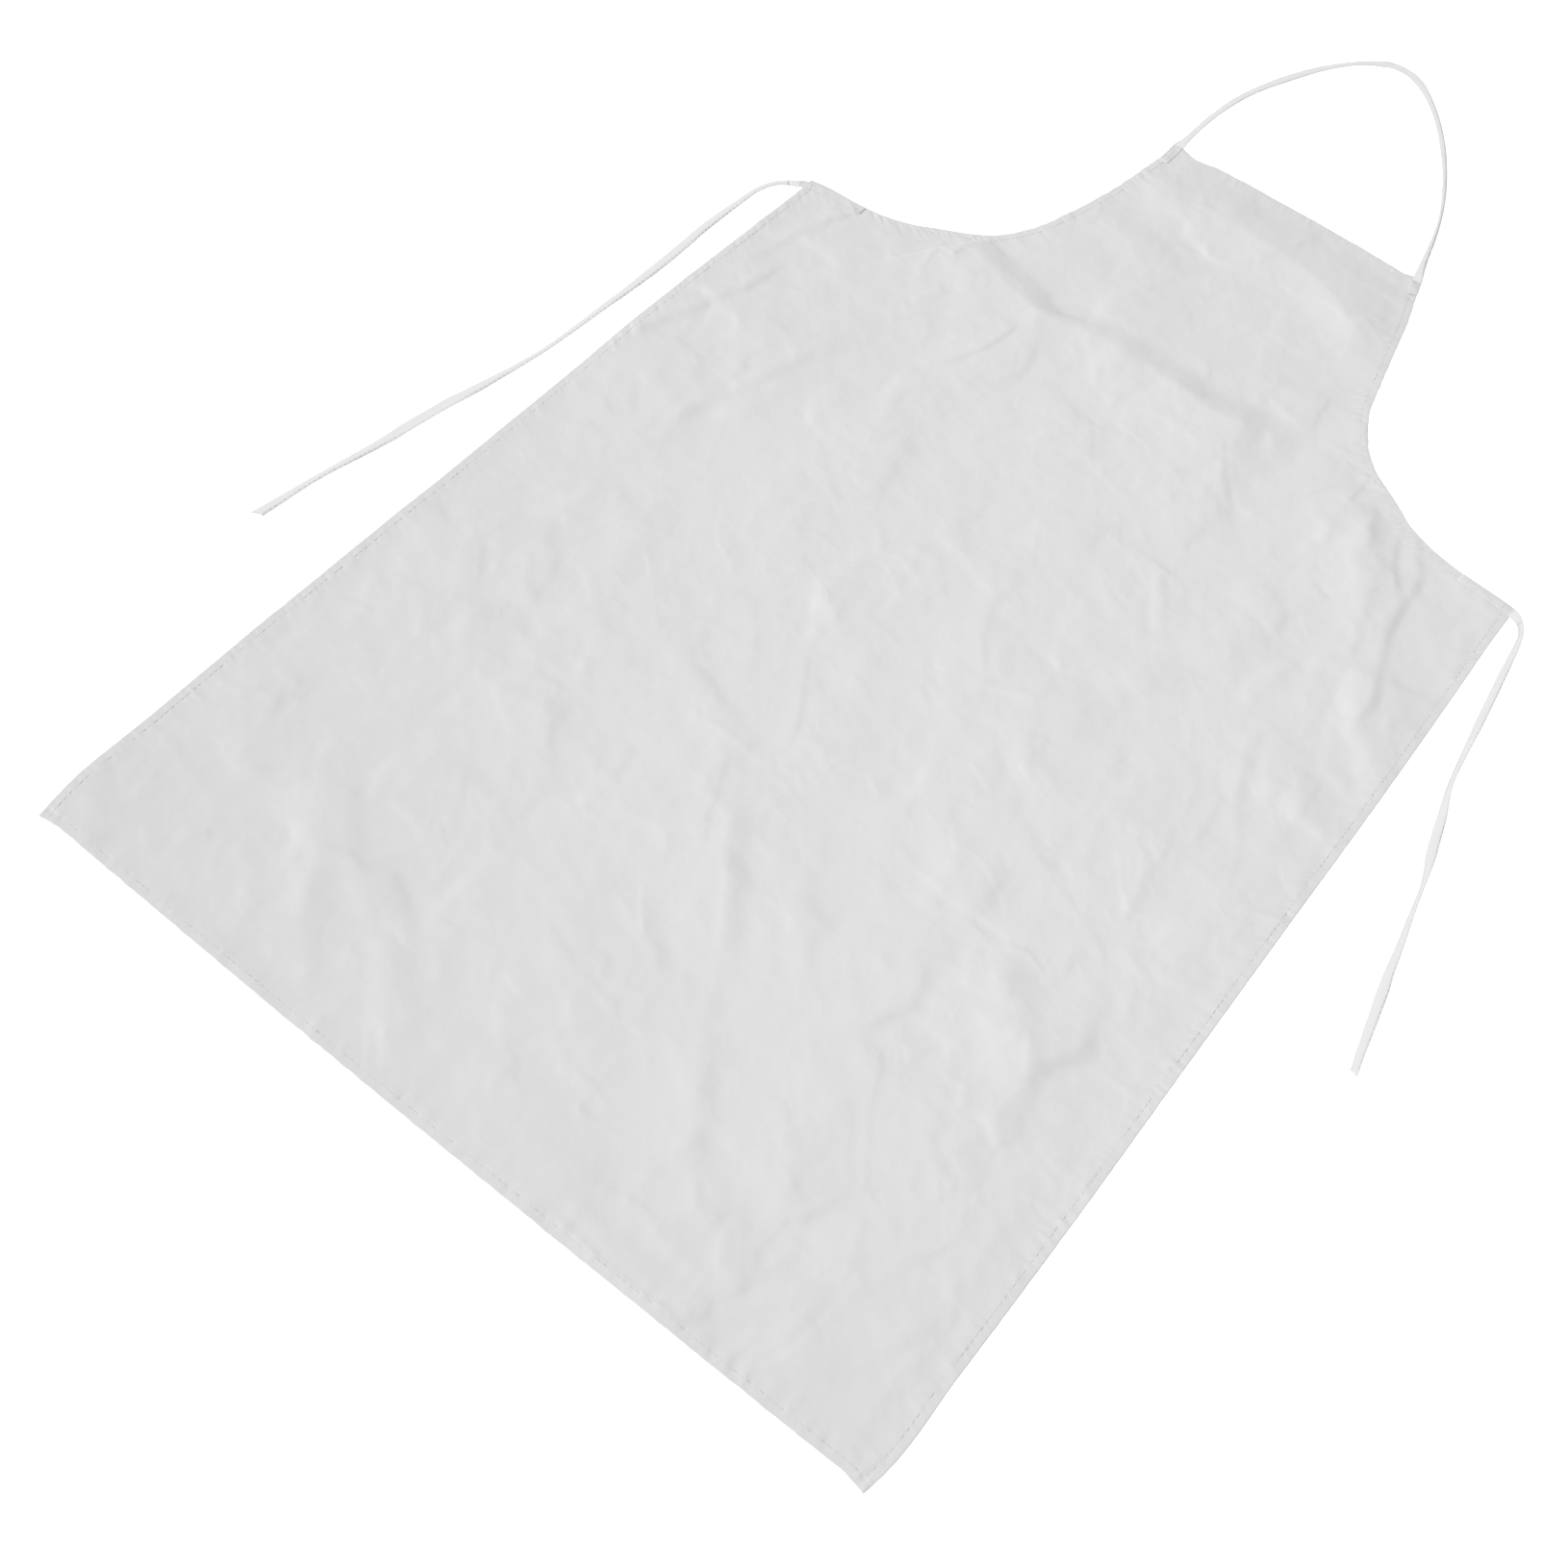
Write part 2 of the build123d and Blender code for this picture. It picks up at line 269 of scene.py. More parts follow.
def edge_columns(side, armhole, sign):
    """The edge moved in by each offset, its two runs meeting in a mitre: (offset, row, xy)."""
    side, armhole = curve(side, 1.0), curve(armhole, 1.0)
    side_in, armhole_in = left_of(side)[:, :2], left_of(armhole)[:, :2]
    columns = []
    for offset in OFFSETS:
        low, high = side + side_in * offset, armhole + armhole_in * offset
        if offset > 0:
            # the mitre is where the armhole run first comes inside the side run
            limit = np.interp(high[:, 1], low[:, 1], low[:, 0])
            i = int(np.argmax(high[:, 0] <= limit))
            gap = limit[i - 1] - high[i - 1, 0]
            share = gap / ((high[i, 0] - high[i - 1, 0]) - (limit[i] - limit[i - 1]))
            mitre = high[i - 1] + share * (high[i] - high[i - 1])
            high = np.vstack([mitre, high[i:]])
            low = np.vstack([low[low[:, 1] < mitre[1] - 1e-6], mitre])
        column = np.vstack([at_shares(low, side_shares), at_shares(high, armhole_shares)])
        column[:, 0] *= sign
        columns.append(column)
    return np.array(columns)


right_columns = edge_columns(SIDE_RIGHT, ARMHOLE_RIGHT, 1.0)
left_columns = edge_columns(SIDE_LEFT, ARMHOLE_LEFT, -1.0)

# centre line: keeps the edge's spacing near both ends, closer rows in between
squeeze = smooth(20, 160, arc) * (1 - smooth(arc[-1] - 160, arc[-1] - 20, arc))
squeezed = np.r_[0, np.cumsum(0.5 * (squeeze[1:] + squeeze[:-1]) * np.diff(arc))]
centre_y = BOTTOM_Y + arc - (arc[-1] - (TOP_Y - BOTTOM_Y)) / squeezed[-1] * squeezed

# columns between the innermost offset curves, bowed to pass through the centre line's heights
spread = np.linspace(-1, 1, 2 * int((HALF_WIDTH - BAND) / COLUMN_PITCH) + 1)[1:-1]
share = (spread + 1) / 2
inner_left, inner_right = left_columns[-1], right_columns[-1]
middle = inner_left[:, None] * (1 - share)[:, None] + inner_right[:, None] * share[:, None]
bow = centre_y - (inner_left[:, 1] + inner_right[:, 1]) / 2
middle[:, :, 1] += (1 - spread**2)[None] * bow[:, None]
grid = np.concatenate(
    [left_columns.transpose(1, 0, 2), middle, right_columns.transpose(1, 0, 2)[:, ::-1]], 1
)
columns = grid.shape[1]
grid_x, grid_y = grid[:, :, 0].copy(), grid[:, :, 1].copy()


def hem_distance(count):
    """Distance of each grid line from its edge: exact in the band, large inside."""
    distance = np.full(count, 1e3)
    distance[:BAND_LINES], distance[-BAND_LINES:] = OFFSETS, OFFSETS[::-1]
    return distance


column_inset = hem_distance(columns)[None, :]
row_inset = hem_distance(rows)[:, None]
inset = np.minimum(column_inset, row_inset)


def run_along(axis):
    gaps = np.hypot(np.diff(grid_x, axis=axis), np.diff(grid_y, axis=axis))
    return np.concatenate([np.zeros_like(gaps.take([0], axis)), np.cumsum(gaps, axis)], axis)


from_left = run_along(1)
from_right = from_left[:, -1:] - from_left
from_bottom = run_along(0)
from_top = from_bottom[-1:] - from_bottom
arc_rows = arc[:, None]

# ------------------------------------------------------------------ folds lying in the cloth
# Low one-sided ridges: one flank short and steep, the other long and soft. Columns: points (x, y)
# along the middle of the steep flank, its width, its steepness in thousandths (positive where it
# faces the upper right, negative the lower left), width of the soft flank, taper at each end.
CREASES = [
    # bib: the folds across its base and the soft rolls above
    ([(-192, 50), (-172, 38), (-150, 30), (-125, 24), (-100, 21), (-75, 27), (-45, 32), (0, 31),
      (40, 28), (66, 25), (88, 31), (112, 36), (140, 40)], 30, 335, 44, 6, 60),
    ([(96, 54), (125, 62), (150, 75), (171, 87)], 14, 120, 26, 22, 4),
    ([(-140, 216), (-100, 234), (-50, 242), (0, 240), (50, 233), (84, 221), (112, 204),
      (140, 182)], 56, 66, 20, 26, 30),
    ([(-134, 164), (-95, 183), (-50, 189), (0, 189), (60, 182), (100, 158), (148, 124)],
     46, -130, 60, 30, 40),
    ([(-152, 152), (-110, 152), (-60, 146), (0, 142)], 24, 120, 24, 14, 50),
    ([(104, 196), (122, 186), (142, 174)], 5, 150, 10, 10, 6),
    ([(-141, 162), (-133, 140), (-139, 114)], 6, 140, 8, 12, 12),
    ([(-130.5, 264), (-126.5, 248), (-129, 232)], 3.6, 300, 5, 4, 6),
    ([(-133, 240), (-119, 229), (-104, 237)], 7, 170, 9, 6, 8),
    ([(-112, 260), (-100, 254), (-78, 258)], 6, 120, 7, 6, 12),
    ([(112, 268), (121, 262), (126, 255)], 3.6, 330, 4, 4, 4),
    ([(84, 262), (100, 259), (114, 258)], 4, 130, 6, 8, 6),
    ([(-190, 51), (-176, 45), (-162, 41)], 3.4, 200, 5, 3, 8),
    ([(-120, 62), (-60, 58), (20, 60)], 12, 45, 16, 30, 40),
    ([(-134, 166), (-112, 176), (-92, 186)], 9, -90, 12, 10, 20),
    # skirt, upper left
    ([(-291, 3), (-299, -20), (-310, -50), (-318, -84), (-327, -124)], 7, 330, 12, 5, 40),
    ([(-298, -90), (-303, -130), (-314, -165), (-326, -200), (-342, -248)], 10, 420, 18, 30, 16),
    ([(-338, -8), (-341, -60), (-343, -140)], 9, 230, 9, 8, 50),
    ([(-326, -60), (-330, -100), (-336, -140)], 8, 90, 10, 20, 30),
    ([(-110, -13), (-114, -45), (-130, -88), (-148, -115)], 5, 400, 15, 14, 14),
    ([(-213, 24), (-212, 0), (-206, -27)], 4.2, 240, 8, 5, 8),
    ([(-190, 46), (-196, 28), (-199, 7)], 5, 330, 8, 4, 6),
    ([(-175, -26), (-184, -44), (-189, -62)], 12, 170, 8, 10, 14),
    ([(-191, -75), (-172, -52), (-150, -38), (-126, -28)], 7, -110, 9, 6, 12),
    ([(-146, -64), (-180, -92), (-214, -152)], 34, 85, 26, 30, 40),
    ([(-196, -138), (-216, -162), (-226, -195), (-238, -228), (-252, -270), (-258, -302)],
     12, 250, 26, 22, 26),
    ([(-238, -204), (-262, -232), (-290, -266), (-330, -305), (-346, -317)], 15, 200, 22, 28, 10),
    ([(-256, -202), (-250, -216), (-247, -232)], 16, 120, 16, 9, 9),
    ([(-278, -226), (-271, -241), (-268, -256)], 17, 125, 16, 9, 9),
    ([(-301, -250), (-294, -265), (-290, -281)], 17, 130, 16, 9, 9),
    ([(-323, -272), (-317, -288), (-313, -304)], 17, 125, 16, 9, 9),
    ([(-342, -290), (-337, -306), (-334, -322)], 15, 120, 14, 9, 9),
    ([(-322, -14), (-328, -80), (-331, -160), (-333, -300)], 34, 62, 12, 14, 60),
    ([(228, 22), (240, -10), (256, -50), (270, -92)], 30, 110, 22, 8, 34),
    ([(-131, -287), (-100, -266), (-66, -247)], 3.4, -210, 5, 8, 10),
    ([(-119, -254), (-105, -262), (-91, -271)], 3, -110, 4, 6, 6),
    ([(-12, -58), (4, -80), (22, -106)], 5, 120, 7, 8, 10),
    ([(-36, -111), (-20, -104), (-6, -99)], 4, 120, 5, 5, 5),
    ([(-102, -211), (-80, -222), (-60, -231)], 3.6, 90, 6, 8, 8),
    ([(-8, -46), (28, -27), (58, -24), (80, -37)], 9, -95, 12, 10, 10),
    ([(-70, -92), (-40, -84), (-10, -80)], 6, -70, 8, 12, 12),
    ([(-322, -262), (-300, -290), (-284, -312)], 10, 110, 12, 12, 14),
    ([(-272, -268), (-270, -296), (-266, -330)], 8, 110, 10, 14, 16),
    ([(-345, -320), (-318, -310), (-292, -322)], 8, 130, 8, 6, 12),
    # skirt, upper middle
    ([(87, -7), (104, -36), (124, -60), (146, -88)], 8, 165, 13, 10, 16),
    ([(100, -52), (112, -78), (124, -100)], 5, 100, 7, 10, 10),
    ([(58, -152), (100, -152), (142, -153)], 4, 130, 5, 12, 14),
    ([(150, -151), (200, -150), (254, -151)], 3.6, 85, 5, 20, 20),
    ([(66, -128), (74, -146), (86, -160)], 4, 150, 5, 6, 6),
    ([(122, -158), (136, -176), (152, -208)], 9, 110, 10, 12, 16),
    ([(90, -158), (106, -168), (122, -180)], 6, -90, 8, 6, 8),
    ([(192, -160), (197, -178), (206, -196)], 4, 90, 5, 8, 8),
    ([(150, -214), (166, -250), (184, -300)], 5, -70, 8, 20, 25),
    ([(70, -190), (74, -240), (84, -290)], 7, 60, 9, 25, 30),
    # skirt, upper right: the deep folds that run down from the armhole
    ([(243, 16), (250, -8), (259, -30), (273, -52)], 6.5, 300, 11, 4, 9),
    ([(257, 14), (268, -4), (279, -22), (284, -45), (285.5, -75), (291, -100), (300, -128),
      (309, -156), (306, -192)], 9.5, 340, 19, 6, 30),
    ([(271, 5), (284, -12), (296, -28), (304, -50)], 4.2, 220, 8, 4, 14),
    ([(213, 30), (223, 8), (228, -12), (237, -30)], 11, 150, 12, 4, 12),
    ([(198, 41), (198, 20), (197, 0)], 4.2, 260, 7, 4, 6),
    ([(198, 2), (201, -25), (206, -52)], 9, 110, 10, 8, 14),
    ([(171, 42), (190, 41.5), (209, 44)], 3.6, 230, 5, 5, 3),
    ([(249, -36), (260, -75), (272, -112), (276, -150), (284, -204)], 7, 150, 13, 22, 26),
    ([(247, -148), (243, -190), (233, -238)], 12, 120, 14, 16, 22),
    ([(255, -228), (262, -255), (272, -285), (282, -305), (293, -330)], 11, 230, 14, 22, 22),
    ([(262, -298), (268, -328), (268, -352)], 5, 160, 7, 8, 12),
    ([(312, -238), (315, -280), (319, -314)], 6, 130, 8, 16, 14),
    ([(324, -156), (332, -172), (347, -188)], 4.5, 190, 6, 5, 5),
    ([(336, -40), (341, -70), (346, -100)], 8, 110, 8, 14, 14),
    ([(336, -262), (342, -300), (346, -340)], 8, 130, 7, 20, 20),
    ([(275, -126), (286, -160), (300, -186), (322, -200), (338, -222), (351, -242)],
     22, -240, 15, 18, 8),
    ([(296, -240), (300, -262), (300, -290)], 9, -90, 9, 12, 16),
    ([(330, -113), (340, -111), (352, -109)], 4, -170, 5, 4, 3),
    ([(304, -8), (320, -14), (336, -8)], 6, 150, 6, 6, 8),
    ([(320, 0), (332, -8), (346, -18)], 5, 190, 5, 4, 5),
    # skirt, right of the middle
    ([(249, -346), (258, -372), (256, -402)], 6, 160, 8, 8, 12),
    ([(258, -371), (275, -362), (293, -362)], 4, 120, 5, 5, 8),
    ([(227, -389), (242, -408), (261, -429)], 3.4, -190, 4, 5, 3),
    ([(234, -384), (247, -403), (261.5, -428)], 3.0, -170, 3.4, 5, 3),
    ([(240, -377), (251, -398), (262, -427)], 3.4, -260, 4, 5, 3),
    ([(253, -412), (260, -423), (264, -434)], 3.2, 250, 3, 4, 3),
    ([(300, -438), (302, -470), (303, -532)], 4, 70, 6, 24, 24),
    ([(160, -408), (200, -436), (230, -447), (262, -462), (302, -486)], 4.4, 80, 7, 30, 30),
    ([(103, -400), (120, -405), (134, -412)], 4, -150, 5, 6, 8),
    ([(124, -448), (134, -460), (141, -467)], 3.2, -230, 4, 4, 3),
    ([(142, -462), (160, -462), (176, -470), (195, -479)], 4, -120, 5, 5, 10),
    ([(146, -470), (158, -480), (178, -486)], 8, 90, 8, 8, 12),
    ([(-74, -499), (-40, -498), (2, -500)], 5, -100, 6, 14, 14),
    ([(124, -499), (140, -497), (160, -500), (182, -498), (214, -501)], 6, -120, 6, 16, 12),
    ([(120, -505), (150, -507), (178, -504), (206, -506)], 3.6, 80, 4, 12, 12),
    ([(208, -503), (226, -497), (242, -503)], 4, 170, 5, 5, 5),
    ([(98, -450), (101, -490), (104, -530)], 5, 90, 6, 16, 16),
    ([(214, -504), (234, -516), (258, -542), (287, -573)], 24, 130, 18, 12, 24),
    ([(200, -505), (210, -522), (223, -537)], 9, -120, 9, 6, 8),
    ([(203, -549), (220, -540), (240, -536)], 9, -150, 9, 8, 10),
    ([(222, -562), (245, -576), (280, -594)], 16, -130, 14, 12, 12),
    ([(250, -623), (268, -616), (292, -629)], 8, -190, 9, 8, 8),
    ([(204, -593), (216, -588), (230, -599)], 6, -140, 7, 6, 6),
    ([(189, -614), (202, -636), (214, -662), (228, -684), (243, -706)], 6, 125, 10, 12, 40),
    ([(150, -648), (186, -660), (206, -694)], 26, 75, 20, 20, 25),
    ([(189, -612), (200, -609), (212, -619)], 5, -140, 6, 5, 5),
    ([(126, -677), (150, -664), (178, -692)], 9, -95, 9, 10, 14),
    ([(185, -708), (192, -722), (201, -740)], 10, -110, 10, 8, 10),
    ([(250, -630), (262, -655), (292, -663)], 10, 110, 10, 12, 14),
    ([(250, -713), (262, -735), (274, -754)], 10, 80, 12, 12, 14),
    ([(318, -708), (330, -730), (337, -744)], 6, 110, 8, 8, 8),
    ([(322, -736), (338, -766), (351, -780)], 18, 110, 16, 18, 6),
    ([(328, -536), (336, -546), (344, -556)], 4, -180, 5, 4, 5),
    ([(266, -770), (262, -800), (256, -830)], 9, 80, 10, 16, 18),
    ([(318, -616), (332, -614), (350, -612)], 4, -170, 4, 6, 3),
    ([(318, -640), (334, -637), (352, -634)], 4, 130, 4, 6, 3),
    # the long fold down the lower right, with the flat crease beside its top and the hook at
    # its foot
    ([(6, -524), (22, -558), (46, -588), (72, -622), (92, -662), (114, -700), (140, -738),
      (154, -772)], 21, 235, 30, 34, 20),
    ([(-4, -540), (18, -572), (46, -610), (74, -656)], 9, -120, 16, 12, 40),
    ([(152, -764), (166, -774), (188, -777)], 9, 140, 9, 8, 10),
    ([(174, -750), (184, -772), (196, -786), (210, -794), (228, -806)], 14, 150, 14, 12, 22),
    ([(-28, -502), (-16, -532), (-6, -556), (7, -580)], 6, 170, 8, 10, 12),
    ([(-41, -396), (-24, -422), (-8, -450), (3, -482)], 6, 165, 9, 14, 18),
    ([(-104, -382), (-76, -414), (-46, -454)], 9, 95, 12, 16, 20),
    ([(35, -260), (44, -280), (50, -298), (64, -316), (72, -334)], 6, 165, 8, 10, 14),
    ([(-48, -338), (-42, -368), (-46, -394)], 7, 90, 8, 12, 14),
    ([(-62, -292), (-40, -284), (-20, -293)], 5, -140, 6, 6, 8),
    ([(-120, -313), (-95, -304), (-76, -309)], 4, 140, 5, 6, 6),
    ([(-79, -319), (-64, -310), (-46, -297)], 4, 140, 5, 6, 6),
    ([(34, -342), (44, -350), (54, -362)], 5, -130, 6, 6, 8),
    ([(-172, -346), (-152, -366), (-138, -372), (-128, -382)], 4.4, -170, 7, 12, 5),
    ([(-120, -350), (-115, -357), (-110, -365)], 3.2, -190, 4, 3, 3),
    ([(-191, -407), (-180, -416), (-169, -427)], 3.2, -250, 4, 4, 3),
    ([(-228, -399), (-205, -392), (-185, -385)], 4, -130, 5, 6, 6),
    ([(-232, -402), (-210, -398), (-190, -392)], 3.6, 90, 4, 6, 6),
    ([(-279, -405), (-264, -418), (-248, -433)], 3.6, -120, 5, 6, 6),
    ([(-198, -468), (-182, -458), (-164, -457)], 5, 160, 7, 6, 6),
    ([(-252, -462), (-236, -486), (-214, -500)], 9, 110, 10, 12, 14),
    ([(-84, -350), (-80, -366), (-82, -384)], 4, 120, 5, 5, 5),
    ([(-122, -486), (-112, -494), (-96, -478)], 5, 110, 6, 5, 8),
    ([(-345, -410), (-330, -416), (-312, -418)], 4, 100, 5, 3, 6),
    # skirt, lower left: soft and crumpled
    ([(-294, -498), (-276, -522), (-250, -548), (-234, -568)], 17, -160, 15, 12, 14),
    ([(-242, -558), (-222, -582), (-198, -604)], 19, -110, 16, 12, 16),
    ([(-198, -571), (-176, -584), (-153, -599)], 9, -165, 9, 8, 4),
    ([(-342, -452), (-322, -470), (-304, -492)], 12, -90, 12, 8, 14),
    ([(-280, -548), (-268, -560), (-258, -576)], 8, 120, 9, 8, 10),
    ([(-244, -718), (-215, -745), (-190, -772), (-162, -803)], 23, -140, 15, 14, 18),
    ([(-208, -694), (-176, -726), (-148, -744)], 18, 120, 16, 16, 18),
    ([(-198, -701), (-170, -692), (-140, -700), (-118, -716), (-98, -742)], 10, -140, 10, 10, 14),
    ([(-174, -743), (-140, -762), (-105, -786), (-58, -830)], 15, -150, 12, 12, 12),
    ([(-188, -750), (-150, -790), (-110, -828)], 20, 130, 16, 22, 14),
    ([(-102, -758), (-72, -786), (-38, -802)], 20, 120, 16, 18, 20),
    ([(-98, -800), (-60, -826), (-18, -838)], 9, -95, 9, 12, 10),
    ([(-342, -695), (-314, -686), (-296, -672), (-282, -667)], 7, 180, 9, 5, 6),
    ([(-322, -664), (-308, -668), (-294, -664)], 6, -120, 6, 6, 6),
    ([(-347, -598), (-325, -586), (-298, -580)], 6, 150, 8, 3, 10),
    ([(-336, -797), (-318, -782), (-298, -769)], 5, 190, 7, 6, 8),
    ([(-284, -824), (-268, -806), (-248, -791)], 7, 220, 8, 6, 6),
    ([(-346, -796), (-322, -820), (-298, -844)], 24, 150, 20, 6, 6),
    ([(-330, -716), (-300, -732), (-262, -742)], 14, -85, 12, 14, 16),
    ([(-348, -742), (-320, -752), (-270, -758)], 12, 85, 12, 8, 16),
    ([(-90, -598), (-72, -611), (-58, -609), (-44, -593), (-30, -588), (-10, -599)],
     9, -190, 8, 8, 8),
    ([(-100, -560), (-88, -574), (-78, -566)], 9, 120, 9, 6, 6),
    ([(-9, -626), (2, -642), (17, -657)], 3.4, -240, 4, 4, 4),
    ([(-30, -548), (-14, -546), (2, -552)], 7, -120, 8, 6, 6),
    ([(-42, -688), (0, -702), (44, -707)], 8, 110, 10, 12, 14),
    ([(4, -724), (28, -742), (54, -750)], 12, -95, 10, 10, 14),
    ([(10, -682), (15, -690), (19, -702)], 3.6, 170, 4, 3, 3),
    ([(-176, -690), (-140, -684), (-120, -694)], 5, 110, 6, 8, 8),
    ([(-112, -674), (-96, -676), (-80, -672)], 5, -120, 6, 6, 6),
    ([(36, -763), (62, -758), (86, -767)], 4.4, 190, 5, 5, 5),
    ([(64, -774), (78, -778), (90, -771)], 4, 210, 4, 4, 4),
    ([(18, -776), (14, -790), (20, -806)], 8, 150, 9, 6, 8),
    ([(-36, -736), (-16, -744), (-4, -742)], 5, -110, 5, 5, 5),
    ([(-30, -760), (-10, -770), (8, -786)], 9, -90, 8, 8, 8),
    ([(108, -807), (136, -801), (164, -806)], 5, 120, 6, 8, 8),
    ([(100, -822), (160, -828), (218, -826)], 17, 175, 9, 14, 14),
    ([(96, -838), (150, -842.5), (204, -840)], 4.5, 360, 5, 12, 12),
    ([(148, -812), (190, -815), (226, -806)], 9, -170, 8, 10, 10),
    ([(255, -830), (272, -836), (296, -840)], 5, -150, 5, 6, 6),
    ([(10, -815), (24, -828), (36, -840)], 6, -110, 7, 6, 4),
    ([(300, -836), (318, -826), (342, -824)], 9, 160, 8, 8, 5),
    ([(-40, -846), (-20, -838), (10, -842)], 6, 120, 6, 6, 6),
    ([(-84, -816), (-70, -828), (-58, -842)], 4, -170, 5, 5, 3),
    ([(-70, -812), (-60, -824), (-46, -840)], 3.6, -150, 4, 5, 3),
    ([(-200, -836), (-170, -842), (-140, -838)], 6, 110, 6, 8, 8),
]
# steep-flank widths, and how much of its full height a crease of that width gets
FLANK_WIDTHS = [3, 5.2, 7, 9.5, 13, 18, 30, 60]
HEIGHT_SHARES = [0.72, 0.70, 0.68, 0.62, 0.53, 0.48, 0.54, 0.70]


def add_crease(height, points, width, slope, soft, taper_start, taper_end):
    """Adds one ridge to the height of the grid; columns as in CREASES."""
    path = curve(points, 3.5)
    chord = path[-1] - path[0]
    facing = np.array([chord[1], -chord[0]]) @ AWAY_FROM_KEY
    steep_side = 1.0 if facing * slope >= 0 else -1.0  # 1 is the right of the run
    segments = np.diff(path, axis=0)
    lengths = np.linalg.norm(segments, axis=1)
    starts = distances(path)
    whole = starts[-1]
    crest = abs(slope) * 1e-3 * np.interp(width, FLANK_WIDTHS, HEIGHT_SHARES) * width / 1.5
    # ends inside the cloth fade at least about as slowly as the soft flank; those at a hem
    # stay sharp
    slowest = min(0.9 * soft, 0.45 * whole)
    if taper_start > 6:
        taper_start = max(taper_start, slowest)
    if taper_end > 6:
        taper_end = max(taper_end, slowest)
    if slope < 0:
        soft = max(soft, 2.3 * width)
    reach = width + 3.4 * soft
    low, high = path.min(0) - reach, path.max(0) + reach
    near = (grid_x > low[0]) & (grid_x < high[0]) & (grid_y > low[1]) & (grid_y < high[1])
    if not near.any():
        return
    x, y = grid_x[near], grid_y[near]
    wobble = noise(x / 17.0, y / 17.0, int(abs(points[0][0]) * 7) % 97) * min(1.0, 0.13 * width)
    wobble += noise(x / 52.0, y / 52.0, 77) * min(3.0, 0.10 * width)
    nearest = np.full(x.shape, 1e9)
    along = np.zeros(x.shape)
    side = np.ones(x.shape)
    for start, run, length, begin in zip(path, segments, lengths, starts):
        t = ((x - start[0]) * run[0] + (y - start[1]) * run[1]) / length**2
        t = np.clip(t, 0, 1)
        dx, dy = x - (start[0] + t * run[0]), y - (start[1] + t * run[1])
        away = np.hypot(dx, dy)
        closer = away < nearest
        nearest = np.where(closer, away, nearest)
        along = np.where(closer, begin + t * length, along)
        side = np.where(closer, np.where(run[0] * dy - run[1] * dx > 0, -1.0, 1.0), side)
    across = nearest * side * steep_side + wobble  # positive on the steep side
    # narrower where it fades out
    body = np.minimum(
        smooth(-0.35 * taper_start, 1.15 * taper_start, along),
        smooth(-0.35 * taper_end, 1.15 * taper_end, whole - along),
    )
    flank = width * (0.55 + 0.45 * body)
    across = across + flank / 2
    steep_part = 1 - smooth(0, 1, across / flank)
    soft_part = np.exp(-((np.clip(-across, 0, None) / soft) ** 1.2))
    taper = np.minimum(smooth(0, taper_start, along), smooth(0, taper_end, whole - along))
    taper = taper * (1 + 0.24 * noise(along / 27.0, crest * 7.7, 91))
    height[near] += crest * np.where(across > 0, steep_part, soft_part) * taper


def cloth_height(x, y):
    """Rolling, crumpled and creased height of the cloth's underside, without hems."""
    # coordinates pushed about, so that the facets are not regular
    warp_x = x + 14 * noise(x / 60, y / 60, 3) + 5 * noise(x / 21, y / 21, 4)
    warp_y = y + 14 * noise(x / 60, y / 60, 5) + 5 * noise(x / 21, y / 21, 6)
    height = 1.1 * noise(x / 150, y / 150, 11) + 0.50 * noise(x / 78, y / 78, 12)
    height += 0.14 * noise(warp_x / 36, warp_y / 36, 13)
    # four sizes of facet; the smaller three come and go in patches
    height += facets(warp_x, warp_y, cell=92, seed=20, sharp=13.0, tilt=0.028, step=0.20)
    height += facets(
        warp_x * 0.9 + warp_y * 0.35, warp_y * 0.9 - warp_x * 0.35,
        cell=47, seed=40, sharp=13.0, tilt=0.028, step=0.08,
    ) * (0.65 + 0.5 * noise(x / 130, y / 130, 14))
    height += facets(
        warp_x, warp_y * 1.2, cell=21, seed=60, sharp=9.0, tilt=0.024, step=0.03
    ) * np.clip(0.6 + 0.8 * noise(x / 80, y / 80, 15), 0.1, 1.2)
    height += facets(
        warp_x * 0.8 - warp_y * 0.6, warp_x * 0.6 + warp_y * 0.8,
        cell=10.5, seed=80, sharp=7.0, tilt=0.017, step=0.008,
    ) * np.clip(0.55 + 0.9 * noise(x / 65, y / 65, 16), 0.05, 1.3)
    for crease in CREASES:
        add_crease(height, *crease)
    return height


def small_creases(count=430):
    """Short, fine creases scattered over the cloth, steepest in the lower part."""
    rng = np.random.RandomState(7)
    height = np.zeros_like(grid_x)
    for _ in range(count):
        x, y = rng.uniform(-335, 335), rng.uniform(-840, 250)
        angle = rng.uniform(0, np.pi)
        length = rng.gamma(3.0, 8.0) + 8
        bend = rng.uniform(-0.1, 0.1) * length
        width = rng.uniform(3.2, 6.5) * (1.6 if rng.rand() < 0.25 else 1.0)
        slope = rng.uniform(25, 115) * (0.75 if y > -450 else 1.0)
        sign = rng.choice([-1, 1])
        if y > 60 or (y > 30 and abs(x) > 135):
            continue
        dx, dy = math.cos(angle), math.sin(angle)
        points = [
            (x - dx * length / 2, y - dy * length / 2),
            (x - dy * bend, y + dx * bend),
            (x + dx * length / 2, y + dy * length / 2),
        ]
        soft = width * rng.uniform(1.0, 2.2)
        add_crease(height, points, width, sign * slope, soft, length * 0.35, length * 0.35)
    return height


